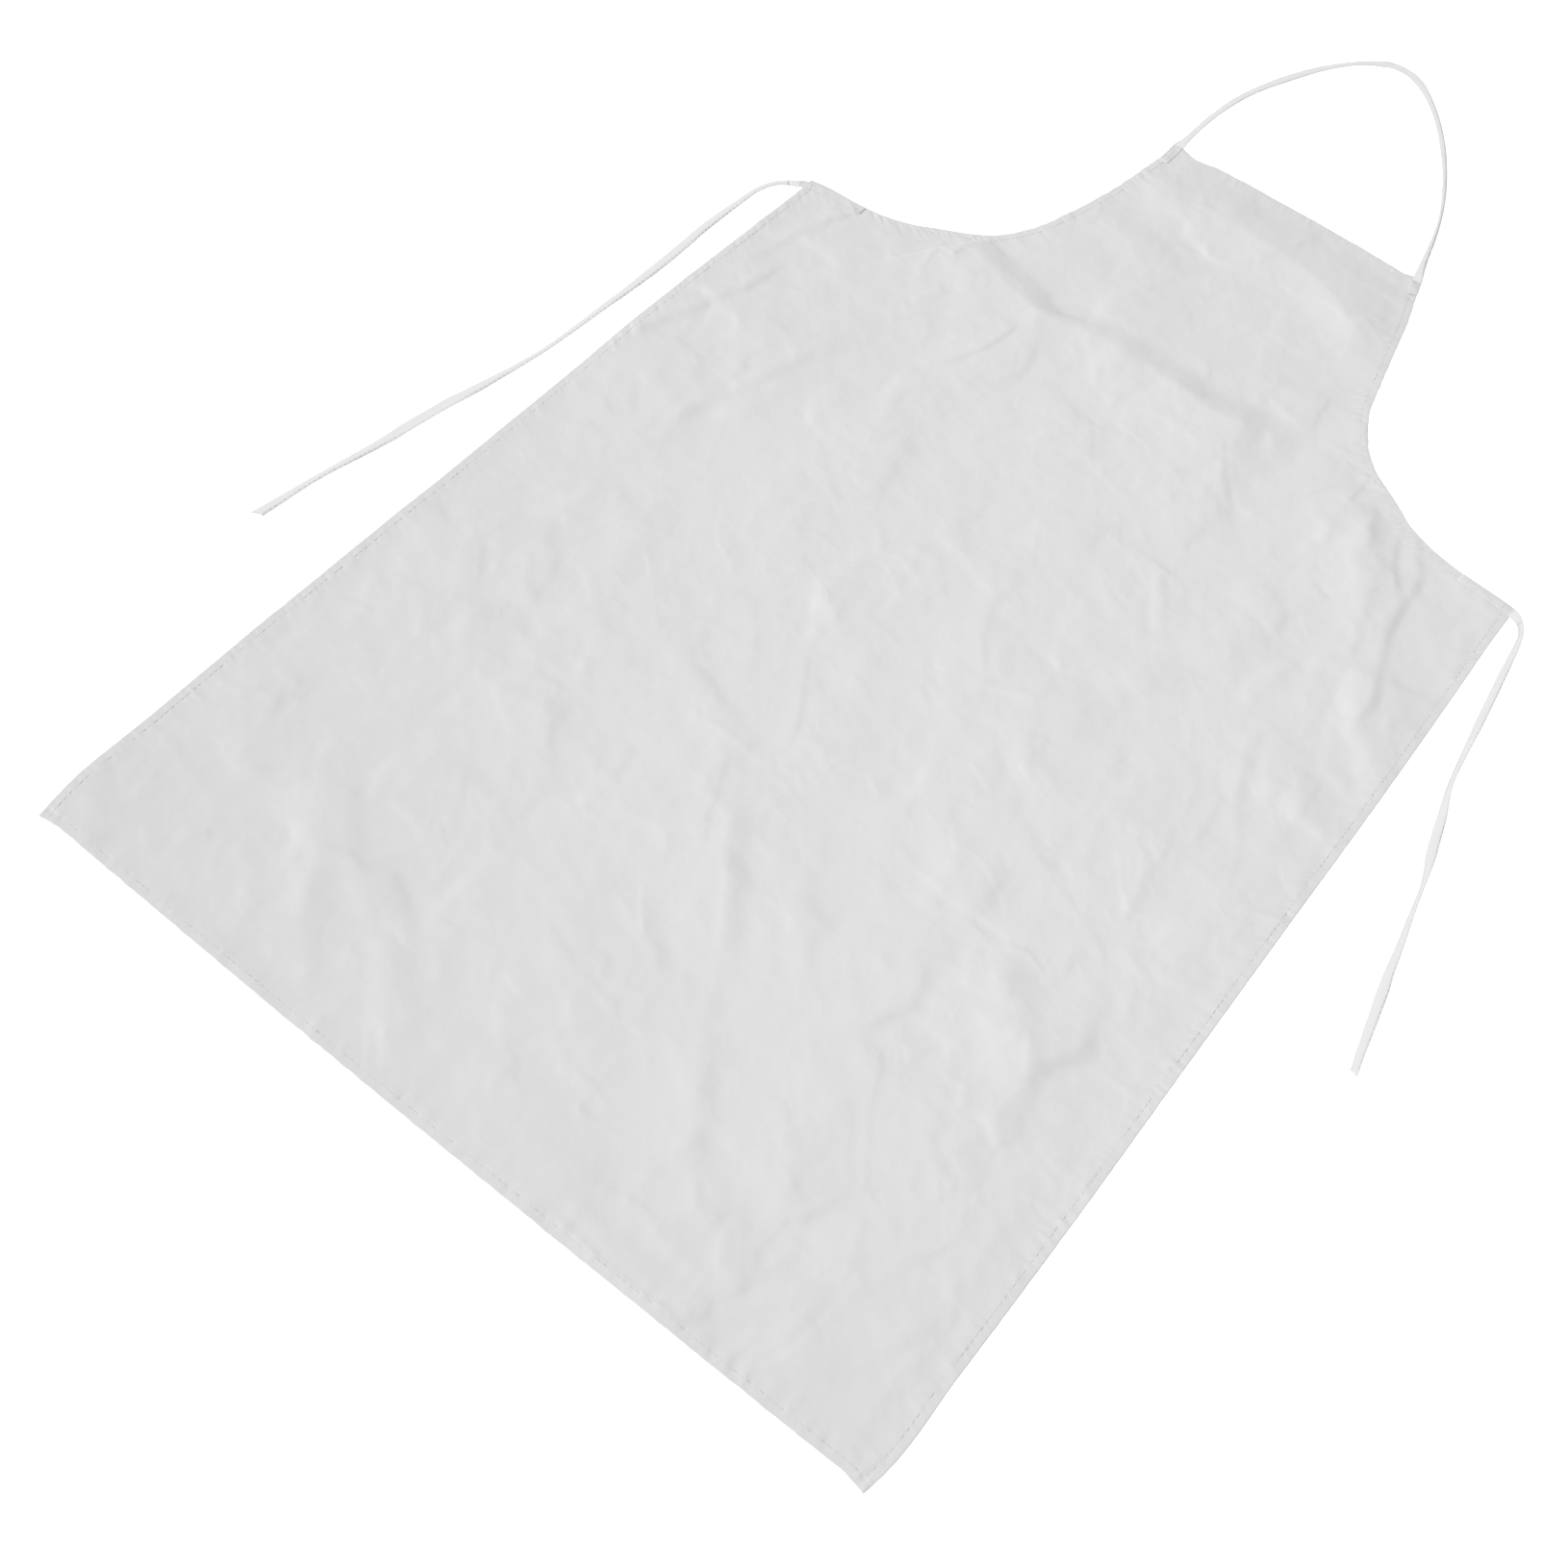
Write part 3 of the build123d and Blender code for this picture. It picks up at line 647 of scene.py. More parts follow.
def pucker(run, depth, seed, reach):
    """Gathers along a seam: run is the length along it, depth the distance in from the edge."""
    bent = run + 2.0 * noise(run / 40, depth / 25, seed + 5)
    fine = noise(bent / 3.3, depth / 26, seed)
    medium = noise(bent / 6.2, depth / 40, seed + 1)
    long_ones = np.clip(1.4 * noise(bent / 11, depth / 120, seed + 2), -0.2, 1)
    local = 0.55 + 0.9 * np.clip(noise(run / 30, 0, seed + 3) + 0.5, 0, 1.5)
    strength = 0.75 + 0.8 * np.clip(noise(run / 22, 3.3, seed + 4), -0.5, 0.9)

    def fade(start, share):
        return np.exp(-np.clip(depth - start, 0, None) / (share * reach * local))

    fine = 1.15 * fine * ((0.3 + 0.7 * smooth(0, 5, depth)) * fade(7, 0.5))
    medium = 0.9 * medium * (smooth(-2, 7, depth) * fade(8, 0.9))
    return (fine + medium) * strength + 0.6 * long_ones * (smooth(2, 9, depth) * fade(9, 2.2))


def soft_floor(values, softness):
    """Keeps values above zero, bending smoothly near it."""
    return 0.5 * (values + np.sqrt(values * values + softness))


armhole_zone = smooth(SIDE_LENGTH - 12, SIDE_LENGTH + 25, arc_rows)
armhole_zone = armhole_zone * (1 - 0.55 * smooth(SIDE_LENGTH + 240, SIDE_LENGTH + 400, arc_rows))
pucker_height = 0.40 * (1 - armhole_zone) + 0.44 * armhole_zone
under = cloth_height(grid_x, grid_y) + small_creases()
under -= np.percentile(under, 5)
under = soft_floor(under, 0.30)
# crests level off above 5.5
under = np.where(under > 5.5, 5.5 + 1.6 * np.tanh((under - 5.5) / 1.6), under)
# the edges stay closer to the floor than the middle
edge_run = np.minimum(
    np.minimum(from_left, from_right), np.minimum(from_bottom, from_top)
)
under *= 0.66 + 0.34 * smooth(0, 45, edge_run)
# runs are shifted so that no two edges share their gathers
gathers = pucker_height * pucker(arc_rows, from_left, seed=101, reach=6.5)
gathers = gathers + 1.25 * pucker_height * pucker(arc_rows + 3000, from_right, seed=131, reach=7.0)
gathers += 0.42 * pucker(grid_x + 5000, from_bottom, seed=151, reach=7.0)
gathers += 0.20 * pucker(grid_x + 9000, from_top, seed=171, reach=6.0)
under = LIFT + soft_floor(under + gathers, 0.02)

# hems: three layers, a soft ramp down to one layer, a groove under the stitches
ramp_end = 21.0 + 5.0 * noise(grid_x / 14.0, grid_y / 14.0, 207)
hem_rise = (HEM_T - CLOTH_T) * (1 - smooth(5.0, ramp_end, np.minimum(inset, edge_run)))
front = under + CLOTH_T + hem_rise


def low_of_neighbours(height):
    padded = np.pad(height, 1, mode="edge")
    low = height.copy()
    for j in range(3):
        for i in range(3):
            low = np.minimum(low, padded[j : j + rows, i : i + columns])
    return low


# the back has fewer points than the front, so it follows the lowest of each point's neighbours
in_hem = inset < HEM_WIDTH
back = low_of_neighbours(under) + np.where(in_hem, 0.0, hem_rise * 0.92)

# how hard the thread pulls: most where it goes down, every few rows or columns
row_numbers, column_numbers = np.arange(rows)[:, None], np.arange(columns)[None, :]
upper_half = row_numbers > rows // 2
side_pull = 0.5 + 0.5 * np.cos(2 * np.pi * row_numbers / ROWS_PER_STITCH)
bottom_pull = 0.5 + 0.5 * np.cos(2 * np.pi / COLUMNS_PER_STITCH * column_numbers)
top_pull = (column_numbers % COLUMNS_PER_TOP_STITCH == 0) * 1.0
on_side = (column_inset <= row_inset) & (inset < 16)
pull = np.where(on_side, side_pull, np.where(upper_half, top_pull, bottom_pull))
pull = pull * (0.7 + 0.6 * noise(grid_x / 7.0, grid_y / 7.0, 209))
groove = np.exp(-(((inset - SEAM_INSET) / 0.8) ** 2))
front -= groove * (0.015 + 0.07 * pull)
back += groove * (0.05 + 0.09 * pull) * in_hem

# rounded outer edge, rounder along the top and up the right armhole
rounder = np.where(upper_half & (row_inset <= column_inset), 1.0, 0.0)
right_armhole = smooth(SIDE_LENGTH + 60, SIDE_LENGTH + 120, arc_rows)
rounder = np.maximum(rounder, right_armhole * (column_numbers > columns // 2))
outwards = np.clip(1 - inset / (0.6 + 1.2 * rounder), 0, 1)
edge_round = HEM_T * 0.5 * (1 - np.sqrt(np.clip(1 - outwards**2, 0, 1)))
front -= edge_round * 0.92
back += edge_round * 0.92

# the outline itself is drawn in and out a little by the gathers
scallop_left = 0.55 * noise(arc_rows / 9.0, 0, 201) * (0.4 + armhole_zone)
scallop_right = 0.55 * noise(arc_rows / 9.0, 0, 202) * (0.4 + armhole_zone)
grid_x += scallop_left * np.exp(-from_left / 9.0) + scallop_right * np.exp(-from_right / 9.0)
scallop_ends = np.exp(-from_bottom / 8.0) + 0.8 * np.exp(-from_top / 8.0)
grid_y += 0.45 * noise(grid_x / 9.0, 0, 203) * scallop_ends
# the bib's top edge dips just inside the left corner
grid_y += -4.2 * np.exp(-(((grid_x + 106) / 13.0) ** 2)) * np.exp(-from_top / 16.0)


def surface_normals(points):
    normals = np.cross(np.gradient(points, axis=1), np.gradient(points, axis=0))
    return normals / (np.linalg.norm(normals, axis=-1)[..., None] + 1e-12)


front_points = np.stack([grid_x, grid_y, front], -1)
back_points = np.stack([grid_x, grid_y, back], -1)
front_normals = surface_normals(front_points)
back_normals = -surface_normals(back_points)


def front_height(x, y):
    """Front surface height at points, from the four nearest grid points."""
    heights = np.zeros(len(x))
    for k in range(len(x)):
        squared = ((grid_x - x[k]) ** 2 + (grid_y - y[k]) ** 2).ravel()
        nearest = np.argpartition(squared, 4)[:4]
        weight = 1 / (squared[nearest] + 0.05)
        heights[k] = (front.ravel()[nearest] * weight).sum() / weight.sum()
    return heights


# ------------------------------------------------------------------ materials
def set_inputs(tree, node, inputs):
    """Sets each input to a value, or links it when given a socket."""
    for key, value in inputs.items():
        if isinstance(value, bpy.types.NodeSocket):
            tree.links.new(value, node.inputs[key])
        else:
            node.inputs[key].default_value = value


def add_node(tree, kind, inputs=None, **settings):
    node = tree.nodes.new("ShaderNode" + kind)
    for key, value in settings.items():
        setattr(node, key, value)
    set_inputs(tree, node, inputs or {})
    return node


def calc(tree, operation, *values):
    return add_node(tree, "Math", dict(enumerate(values)), operation=operation).outputs[0]


def new_material(name):
    material = bpy.data.materials.new(name)
    material.use_nodes = True
    tree = material.node_tree
    tree.nodes.clear()
    output = add_node(tree, "OutputMaterial")
    bsdf = add_node(tree, "BsdfPrincipled")
    tree.links.new(bsdf.outputs[0], output.inputs[0])
    return material, tree, bsdf, output


def rest_position(tree):
    return add_node(tree, "Attribute", attribute_name="rest").outputs["Vector"]


def grey_colour(tree, value):
    return add_node(tree, "CombineColor", {0: value, 1: value, 2: value}).outputs[0]


def noise_node(tree, position, scale, detail, roughness=0.5, distortion=0.0):
    return add_node(tree, "TexNoise", {
        "Scale": scale, "Detail": detail, "Roughness": roughness, "Distortion": distortion,
        "Vector": position,
    })


def bump(tree, height, strength, distance):
    inputs = {"Strength": strength, "Distance": distance, "Height": height}
    return add_node(tree, "Bump", inputs)


def cloth_material(name, grey, roughness, weave_strength, wrinkle_strength):
    """Coated plain-weave cloth: fine over-and-under weave, soft sheen, slight unevenness.

    Returns the material, its node tree, the rest position and the weave's bump node."""
    weave_period = 0.62
    material, tree, bsdf, _ = new_material(name)
    position = rest_position(tree)
    axes = add_node(tree, "SeparateXYZ", {0: position}).outputs
    turns = 2 * math.pi / weave_period
    wave_x = calc(tree, "SINE", calc(tree, "MULTIPLY", axes[0], turns))
    wave_y = calc(tree, "SINE", calc(tree, "MULTIPLY", axes[1], turns))
    weave = calc(tree, "MULTIPLY", wave_x, wave_y)

    def clouds(**settings):
        return noise_node(tree, position, **settings).outputs["Fac"]

    def about_zero(value, amount):
        return calc(tree, "MULTIPLY", calc(tree, "SUBTRACT", value, 0.5), amount)

    patches = clouds(scale=0.006, detail=3.0, roughness=0.55)
    fine = clouds(scale=0.06, detail=4.0, roughness=0.6, distortion=0.6)
    slubs = clouds(scale=0.9, detail=2.0)
    # unevenness of tone: broad patches, fine cloudiness, threads just showing through the coat
    tone = calc(tree, "ADD", about_zero(patches, 0.030), about_zero(fine, 0.030))
    tone = calc(tree, "ADD", tone, calc(tree, "MULTIPLY", weave, 0.010))
    # a few specks of lint and wear
    spots = add_node(tree, "TexVoronoi", {"Scale": 0.014, "Vector": position})
    speck = calc(tree, "LESS_THAN", spots.outputs["Distance"], 0.0085)
    tone = calc(tree, "SUBTRACT", tone, calc(tree, "MULTIPLY", speck, 0.10))
    value = calc(tree, "MULTIPLY", calc(tree, "ADD", tone, 1.0), grey)
    weave_bump = bump(tree, weave, strength=weave_strength, distance=0.00002)
    set_inputs(tree, bsdf, {
        "Base Color": grey_colour(tree, value),
        "Roughness": calc(tree, "ADD", roughness, about_zero(fine, 0.22)),
        "Specular IOR Level": 0.42, "Sheen Weight": 0.08, "Sheen Roughness": 0.45,
    })
    wrinkles = clouds(scale=0.11, detail=5.0, roughness=0.55, distortion=1.2)
    wrinkles = calc(tree, "ADD", wrinkles, calc(tree, "MULTIPLY", slubs, 0.12))
    wrinkle_bump = bump(tree, wrinkles, strength=wrinkle_strength, distance=0.0005)
    tree.links.new(weave_bump.outputs[0], wrinkle_bump.inputs["Normal"])
    tree.links.new(wrinkle_bump.outputs[0], bsdf.inputs["Normal"])
    return material, tree, position, weave_bump


def coated_cloth(crumple=0.6):
    """The panel's cloth, with sharp little creases finer than the mesh can carry."""
    material, tree, position, weave_bump = cloth_material(
        "coated_cloth", grey=0.684, roughness=0.46, weave_strength=0.20, wrinkle_strength=0.11
    )
    warp = noise_node(tree, position, scale=0.024, detail=3.0).outputs["Color"]
    moved = add_node(
        tree, "VectorMath", {0: warp, 1: (46.0, 46.0, 0.0), 2: position}, operation="MULTIPLY_ADD"
    ).outputs[0]
    height = None
    for size, slope in ((58.0, 0.020), (27.0, 0.024), (12.0, 0.022)):
        cells = add_node(tree, "TexVoronoi", {"Scale": 1.0 / size, "Vector": moved})
        layer = calc(tree, "MULTIPLY", cells.outputs["Distance"], size * slope * crumple)
        height = layer if height is None else calc(tree, "ADD", height, layer)
    crumple_bump = bump(tree, height, strength=1.0, distance=0.001)
    tree.links.new(crumple_bump.outputs[0], weave_bump.inputs["Normal"])
    return material


def soft_strap_cloth(soften=0.8):
    """Light scatters through a thin folded strip, so its shading follows its roll only partly. Its
    grey is set lighter than the panel's cloth as painted light, standing in for the floor's light
    shining through the strip.
    """
    # grey 0.785 against the panel's 0.684: painted light for the floor's light through the thin
    # strip, not a lighter cloth
    material, tree, _, weave_bump = cloth_material(
        "strap_cloth", grey=0.785, roughness=0.48, weave_strength=0.35, wrinkle_strength=0.16
    )
    geometry = add_node(tree, "NewGeometry")
    axes = add_node(tree, "SeparateXYZ", {0: geometry.outputs["Normal"]}).outputs
    level = [calc(tree, "MULTIPLY", axes[i], 1 - soften) for i in (0, 1)]
    flat_z = calc(tree, "MULTIPLY", calc(tree, "SIGN", axes[2]), soften)
    z = calc(tree, "ADD", calc(tree, "MULTIPLY", axes[2], 1 - soften), flat_z)
    normal = add_node(tree, "CombineXYZ", {0: level[0], 1: level[1], 2: z}).outputs[0]
    unit = add_node(tree, "VectorMath", {0: normal}, operation="NORMALIZE")
    tree.links.new(unit.outputs[0], weave_bump.inputs["Normal"])
    return material


def thread_material(grey=0.70):
    """Spun thread: matt, with its twist as fine diagonal ridges."""
    material, tree, bsdf, _ = new_material("thread")
    inputs = {"Scale": 1.3, "Distortion": 1.0, "Vector": rest_position(tree)}
    ridges = add_node(tree, "TexWave", inputs, bands_direction="DIAGONAL").outputs["Fac"]
    tone = calc(tree, "ADD", calc(tree, "MULTIPLY", ridges, 0.12), 0.92)
    set_inputs(tree, bsdf, {
        "Base Color": grey_colour(tree, calc(tree, "MULTIPLY", tone, grey)),
        "Roughness": 0.75, "Sheen Weight": 0.2,
        "Normal": bump(tree, ridges, strength=0.5, distance=0.00006).outputs[0],
    })
    return material


cloth = coated_cloth()
# the same cloth as the panel, painted lighter to stand in for light shining through the strip
strap_cloth = soft_strap_cloth()
thread = thread_material()

# ------------------------------------------------------------------ panel
# three pieces that meet on rows
BIB_CUT_Y = -30.0
SKIRT_CUT_Y = -420.0
KEPT_LINES = [0, 1, 3, 5, 7, 9, 10, 12, 14]  # offset lines the back keeps in its hems


def thinned(count, keep=()):
    """Every second line, those that shape the hems, and the ones in keep."""
    ends = KEPT_LINES + [count - 1 - k for k in KEPT_LINES]
    inside = np.arange(KEPT_LINES[-1], count - KEPT_LINES[-1], 2)
    return np.unique(np.r_[ends, inside, list(keep)]).astype(int)


kept_rows = thinned(rows, [corner_row])
kept_columns = thinned(columns)


def nearest_row(y):
    return int(kept_rows[np.argmin(np.abs(grid_y[kept_rows, columns // 2] - y))])


def cell_quads(ids):
    return np.stack([ids[:-1, :-1], ids[:-1, 1:], ids[1:, 1:], ids[1:, :-1]], -1).reshape(-1, 4)


def panel_piece(name, first, last, flat_low, flat_high, replaced):
    """Front and back between two rows, walled round; an end that is a cut has a flat wall."""
    piece_rows = kept_rows[(kept_rows >= first) & (kept_rows <= last)]
    marks = piece_rows - first
    piece_front = front_points[first : last + 1]
    height, width = piece_front.shape[:2]
    front_ids = np.arange(height * width).reshape(height, width)
    back_ids = np.arange(len(piece_rows) * len(kept_columns)).reshape(len(piece_rows), -1)
    on_front = front_normals[first : last + 1].reshape(-1, 3)
    on_back = back_normals[piece_rows][:, kept_columns].reshape(-1, 3)
    piece_back = back_points[piece_rows][:, kept_columns].reshape(-1, 3)
    verts = np.vstack([piece_front.reshape(-1, 3), piece_back])
    front_quads = cell_quads(front_ids)
    back_quads = cell_quads(back_ids)[:, [0, 3, 2, 1]]
    normals = [on_front[front_quads.ravel()], on_back[back_quads.ravel()]]
    walls = []

    def wall(front_line, back_line, marks, outward, flat):
        """Wall between lines of front and back points; marks: where back points sit in front's."""
        outward = np.broadcast_to(np.asarray(outward, float), (len(front_line), 3))
        for a in range(len(marks) - 1):
            start, end = marks[a], marks[a + 1]
            run = range(end, start - 1, -1)
            ends = back_line[a : a + 2]
            walls.append([front_line[t] for t in run] + list(ends + front_ids.size))
            corners = [(t, on_front[front_line[t]]) for t in run]
            corners += [(start, on_back[ends[0]]), (end, on_back[ends[1]])]
            for t, normal in corners:
                facing = outward[t] if flat else outward[t] * 0.9 + normal * 0.45
                normals.append((facing / np.linalg.norm(facing))[None])

    left_out, right_out = left_of(piece_front[:, 0]), -left_of(piece_front[:, -1])
    wall(front_ids[::-1, 0], back_ids[::-1, 0], (height - 1 - marks)[::-1], left_out[::-1], False)
    wall(front_ids[:, -1], back_ids[:, -1], marks, right_out, False)
    wall(front_ids[0], back_ids[0], kept_columns, (0, -1, 0), flat_low)
    from_end = (width - 1 - kept_columns)[::-1]
    wall(front_ids[-1, ::-1], back_ids[-1, ::-1], from_end, (0, 1, 0), flat_high)
    quads = np.vstack([front_quads, back_quads + front_ids.size])
    ob = mesh_object(name, verts, quads, cloth, np.vstack(normals), walls)
    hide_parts(replaced)
    return ob


bib_row, skirt_row = nearest_row(BIB_CUT_Y), nearest_row(SKIRT_CUT_Y)
bib = panel_piece("apron_bib", bib_row, rows - 1, True, False, "bib_panel")
upper = panel_piece("apron_skirt_upper", skirt_row, bib_row, True, True, "skirt_panel_upper")
lower = panel_piece("apron_skirt_lower", 0, skirt_row, False, True, "skirt_panel_lower")

# ------------------------------------------------------------------ stitches
# stations along one stitch: share of its length, rise in units of proud, girth in radii
STITCH = [
    (0.0, -0.42, 0.55), (0.10, 0.02, 0.92), (0.30, 1.0, 1.0), (0.5, 1.12, 1.03),
    (0.70, 1.0, 1.0), (0.90, 0.02, 0.92), (1.0, -0.42, 0.55),
]
STITCH_SIDES = 6


def stitches(start, end, up, radius=0.17, proud=0.07):
    """One thread loop from each start to its end; both ends go down into the cloth."""
    run = end - start
    along = run / (np.linalg.norm(run, axis=1)[:, None] + 1e-9)
    side = np.cross(up, along)
    side /= np.linalg.norm(side, axis=1)[:, None] + 1e-9
    out = np.cross(along, side)
    rings = np.zeros((len(start), len(STITCH), STITCH_SIDES, 3))
    for k, (place, rise, girth) in enumerate(STITCH):
        centre = start + run * place + out * (rise * proud)
        for corner in range(STITCH_SIDES):
            angle = corner * np.pi / 3
            across = math.cos(angle) * girth * radius
            over = math.sin(angle) * girth * radius * 0.8
            rings[:, k, corner] = centre + side * across + out * over
    first = (np.arange(len(start)) * len(STITCH) * STITCH_SIDES)[:, None, None]
    quads = tube_quads(len(STITCH), STITCH_SIDES)[None] + first
    return rings.reshape(-1, 3), quads.reshape(-1, 4)


def stitch_line(points, normals, gap, **shape):
    """Stitches from point to point, leaving a share of each step bare at both ends."""
    step = points[1:] - points[:-1]
    up = (normals[1:] + normals[:-1]) / 2
    return stitches(points[:-1] + step * gap, points[1:] - step * gap, up, **shape)


def thread_piece(name, parts, *replaced):
    ob = mesh_object(name, *merge(parts), thread)
    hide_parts(*replaced)
    return ob


def seam(name, row, column, *replaced):
    """Needle stitches on the front and bobbin stitches on the back, hole to hole on the grid."""
    needle = front_points[row, column] + [0, 0, 0.06]
    bobbin = back_points[row, column] - [0, 0, 0.08]
    parts = [
        stitch_line(needle, front_normals[row, column], gap=0.12),
        stitch_line(bobbin, back_normals[row, column], gap=0.12),
    ]
    return thread_piece(name, parts, *replaced)


def every(step, first, last):
    numbers = np.arange(first, last + 1)
    return numbers[numbers % step == 0]


seam_line = int(np.argmin(np.abs(OFFSETS - SEAM_INSET)))
last_row, last_column = rows - 1 - seam_line, columns - 1 - seam_line
bottom_holes = every(COLUMNS_PER_STITCH, seam_line, last_column)
top_holes = every(COLUMNS_PER_TOP_STITCH, seam_line, last_column)
side_holes = every(ROWS_PER_STITCH, seam_line, corner_row)
armhole_holes = every(ROWS_PER_STITCH, corner_row, last_row)
EDGE_COLUMNS = (("left", seam_line), ("right", last_column))

bottom_seam = seam("bottom_hem_stitches", seam_line, bottom_holes, "bottom_hem_seam")
top_seam = seam("top_hem_stitches", last_row, top_holes, "top_hem_seam")
side_seams = {
    side: seam(f"side_stitches_{side}", side_holes, column,
               f"side_seam_{side}_lower", f"side_seam_{side}_upper")
    for side, column in EDGE_COLUMNS
}
armhole_seams = {
    side: seam(f"armhole_stitches_{side}", armhole_holes, column,
               f"shoulder_seam_{side}", f"armhole_seam_{side}")
    for side, column in EDGE_COLUMNS
}

# ------------------------------------------------------------------ straps
# Middle of each strap: x, y, roll in degrees (0 lies flat), width across. Where it is narrower
# than STRAP_WIDTH it arches.
NECK = [
    (-130.2, 243.5, 0, 9.3), (-130, 252, 0, 9.3), (-129.8, 262, 0, 9.3), (-129.8, 271, 0, 9.3),
    (-129.7, 284, -14, 7.3), (-129.5, 299, -17, 6.7), (-128.7, 323, -14, 6.7),
    (-126.3, 347, -9, 6.7), (-122.4, 370, -5, 6.8), (-116.1, 393, -4, 7.1),
    (-107.6, 416, -2, 7.9), (-98.5, 437, -1, 7.8), (-87.7, 459, -6, 7.1), (-75.2, 479, -10, 6.8),
    (-60.5, 497.2, -8, 6.8), (-51.6, 505.4, -2, 7.5), (-41.3, 511.6, 0, 9.3),
    (-29.4, 514.2, 0, 9.3), (-17.5, 513.6, 0, 9.3), (-6.1, 509.8, 0, 8.7), (3.3, 503, -1, 7.7),
    (12.5, 495, -6, 7.0), (28.9, 477.6, -12, 6.8), (43.6, 458.6, -14, 6.7),
    (56.9, 438.7, -17, 6.5), (69.1, 418, -21, 5.8), (80.1, 396.6, -23, 5.3),
    (89.9, 374.7, -23, 4.3), (98.1, 352.3, -23, 3.8), (104.7, 329.4, -23, 4.5),
    (110.1, 306, -21, 5.5), (114.8, 286, -13, 7.0), (118.6, 271, 0, 9.3), (120.8, 262, 0, 9.3),
    (123.4, 252, 0, 9.3),
]
TIE_LEFT = [
    (-290, 4, 0, 9.3), (-300, 3.6, 0, 9.3), (-315, 2.6, 0, 9.3), (-330, 1, 0, 9.3),
    (-342, -1.8, 0, 9.3), (-349, -4.6, 0, 9.3), (-356, -8.8, 3, 7.9), (-364.3, -15.6, 10, 7.1),
    (-370.9, -25.5, 15, 6.8), (-374.4, -37.1, 16, 6.8), (-376.5, -61, 10, 6.9),
    (-378, -85, 2, 7.5), (-378.6, -109, 0, 8.1), (-377.8, -133, 0, 8.6), (-377.6, -157, 0, 8.8),
    (-378.1, -181, 0, 8.4), (-378.8, -205, 3, 7.2), (-380.2, -229, 11, 6.8),
    (-381.3, -253, 18, 6.8), (-382.5, -277, 23, 6.7), (-384.2, -301, 24, 6.8),
    (-387.5, -324.6, 18, 6.7), (-391.8, -348, 7, 7.1), (-396.4, -372, 0, 8.4),
    (-401.1, -395, 0, 9.3), (-405.2, -419, 0, 9.3), (-408.9, -443, 0, 9.3), (-413, -466, 1, 7.7),
    (-417.9, -490, 7, 6.9), (-422.4, -513, 14, 6.8), (-426.2, -537, 11, 7.1),
    (-428.8, -558, 3, 8.1), (-431, -573, 0, 8.6),
]
TIE_RIGHT = [
    (302, 0, 0, 9.3), (315, -0.8, 0, 9.3), (330, -1.8, 0, 9.3), (342, -3, 0, 9.3),
    (350, -4.2, 0, 9.3), (357.5, -7.6, 45, 6.1), (363.8, -16, 60, 5.6), (367, -28.6, 48, 5.8),
    (369, -42, 26, 5.9), (371.8, -64, 10, 6.2), (375, -88, 8, 6.5), (378, -112, 14, 6.4),
    (380.9, -136, 31, 6.0), (383.9, -160, 51, 5.8), (387.6, -183, 55, 5.7),
    (391.1, -195, 38, 6.0), (394.9, -207, 16, 6.8), (400.8, -229, 8, 7.7), (404, -241, 12, 7.8),
    (407.3, -252.5, 29, 6.2), (410.4, -264, 51, 5.2), (412.9, -276, 58, 4.7),
    (417.2, -299.5, 51, 5.5), (422.1, -323, 34, 6.0), (426.5, -347, 16, 6.9),
    (429, -358, 8, 8.0), (431.5, -370, 8, 7.9), (436.4, -393.5, 12, 7.1),
    (441.2, -417, 20, 6.1), (444, -429, 24, 5.8),
]
STRAP_SEAM = 0.68
# places across a strap, -1 at its folded edge and 1 at its stitched edge
ACROSS = np.array(
    [-1.0, -0.94, -0.8, -0.55, -0.25, 0.0, 0.25, 0.5, 0.62, STRAP_SEAM, 0.74, 0.86, 0.95, 1.0]
)
STITCH_PITCH = 4.6


def arch(width):
    """How much a strip arches when it is pushed narrower than it is flat."""
    share = np.clip(width / STRAP_WIDTH, 0.3, 1.0)
    return np.minimum(np.sqrt(1.5 * (1 / share - 1)), 0.30)


def lay(stations, on_panel, seed):
    """Path with heights: on the panel's front where on_panel is 1, on the floor where it is 0."""
    points = curve(stations, 2.2)
    x, y, roll = points[:, 0], points[:, 1], points[:, 2]
    width = np.clip(points[:, 3], 3.0, STRAP_WIDTH)
    on = on_panel(x, y)
    turned = np.radians(np.abs(roll))
    half_height = STRAP_T / 2 + 0.65 * arch(width) * width / 2
    on_floor = LIFT + width / 2 * np.sin(turned) + half_height * np.cos(turned) + 0.1
    on_front = np.zeros(len(points))
    held = np.where(on > 0)[0]
    on_front[held] = front_height(x[held], y[held]) + STRAP_T * 0.2 + 0.04
    z = on_front * on + on_floor * (1 - on)
    z = np.convolve(np.pad(z, 2, mode="edge"), np.ones(5) / 5, mode="valid")
    wave = noise(distances(points[:, :2]) / 60.0 + seed, 0, 310)
    z += 0.25 * np.clip(wave, -0.3, 1) * (1 - on)
    # the stations are seen from EYE against the floor; a raised point sits a little nearer it
    xy = EYE[:2] + (points[:, :2] - EYE[:2]) * ((EYE[2] - z) / EYE[2])[:, None]
    return np.c_[xy, z], roll, width


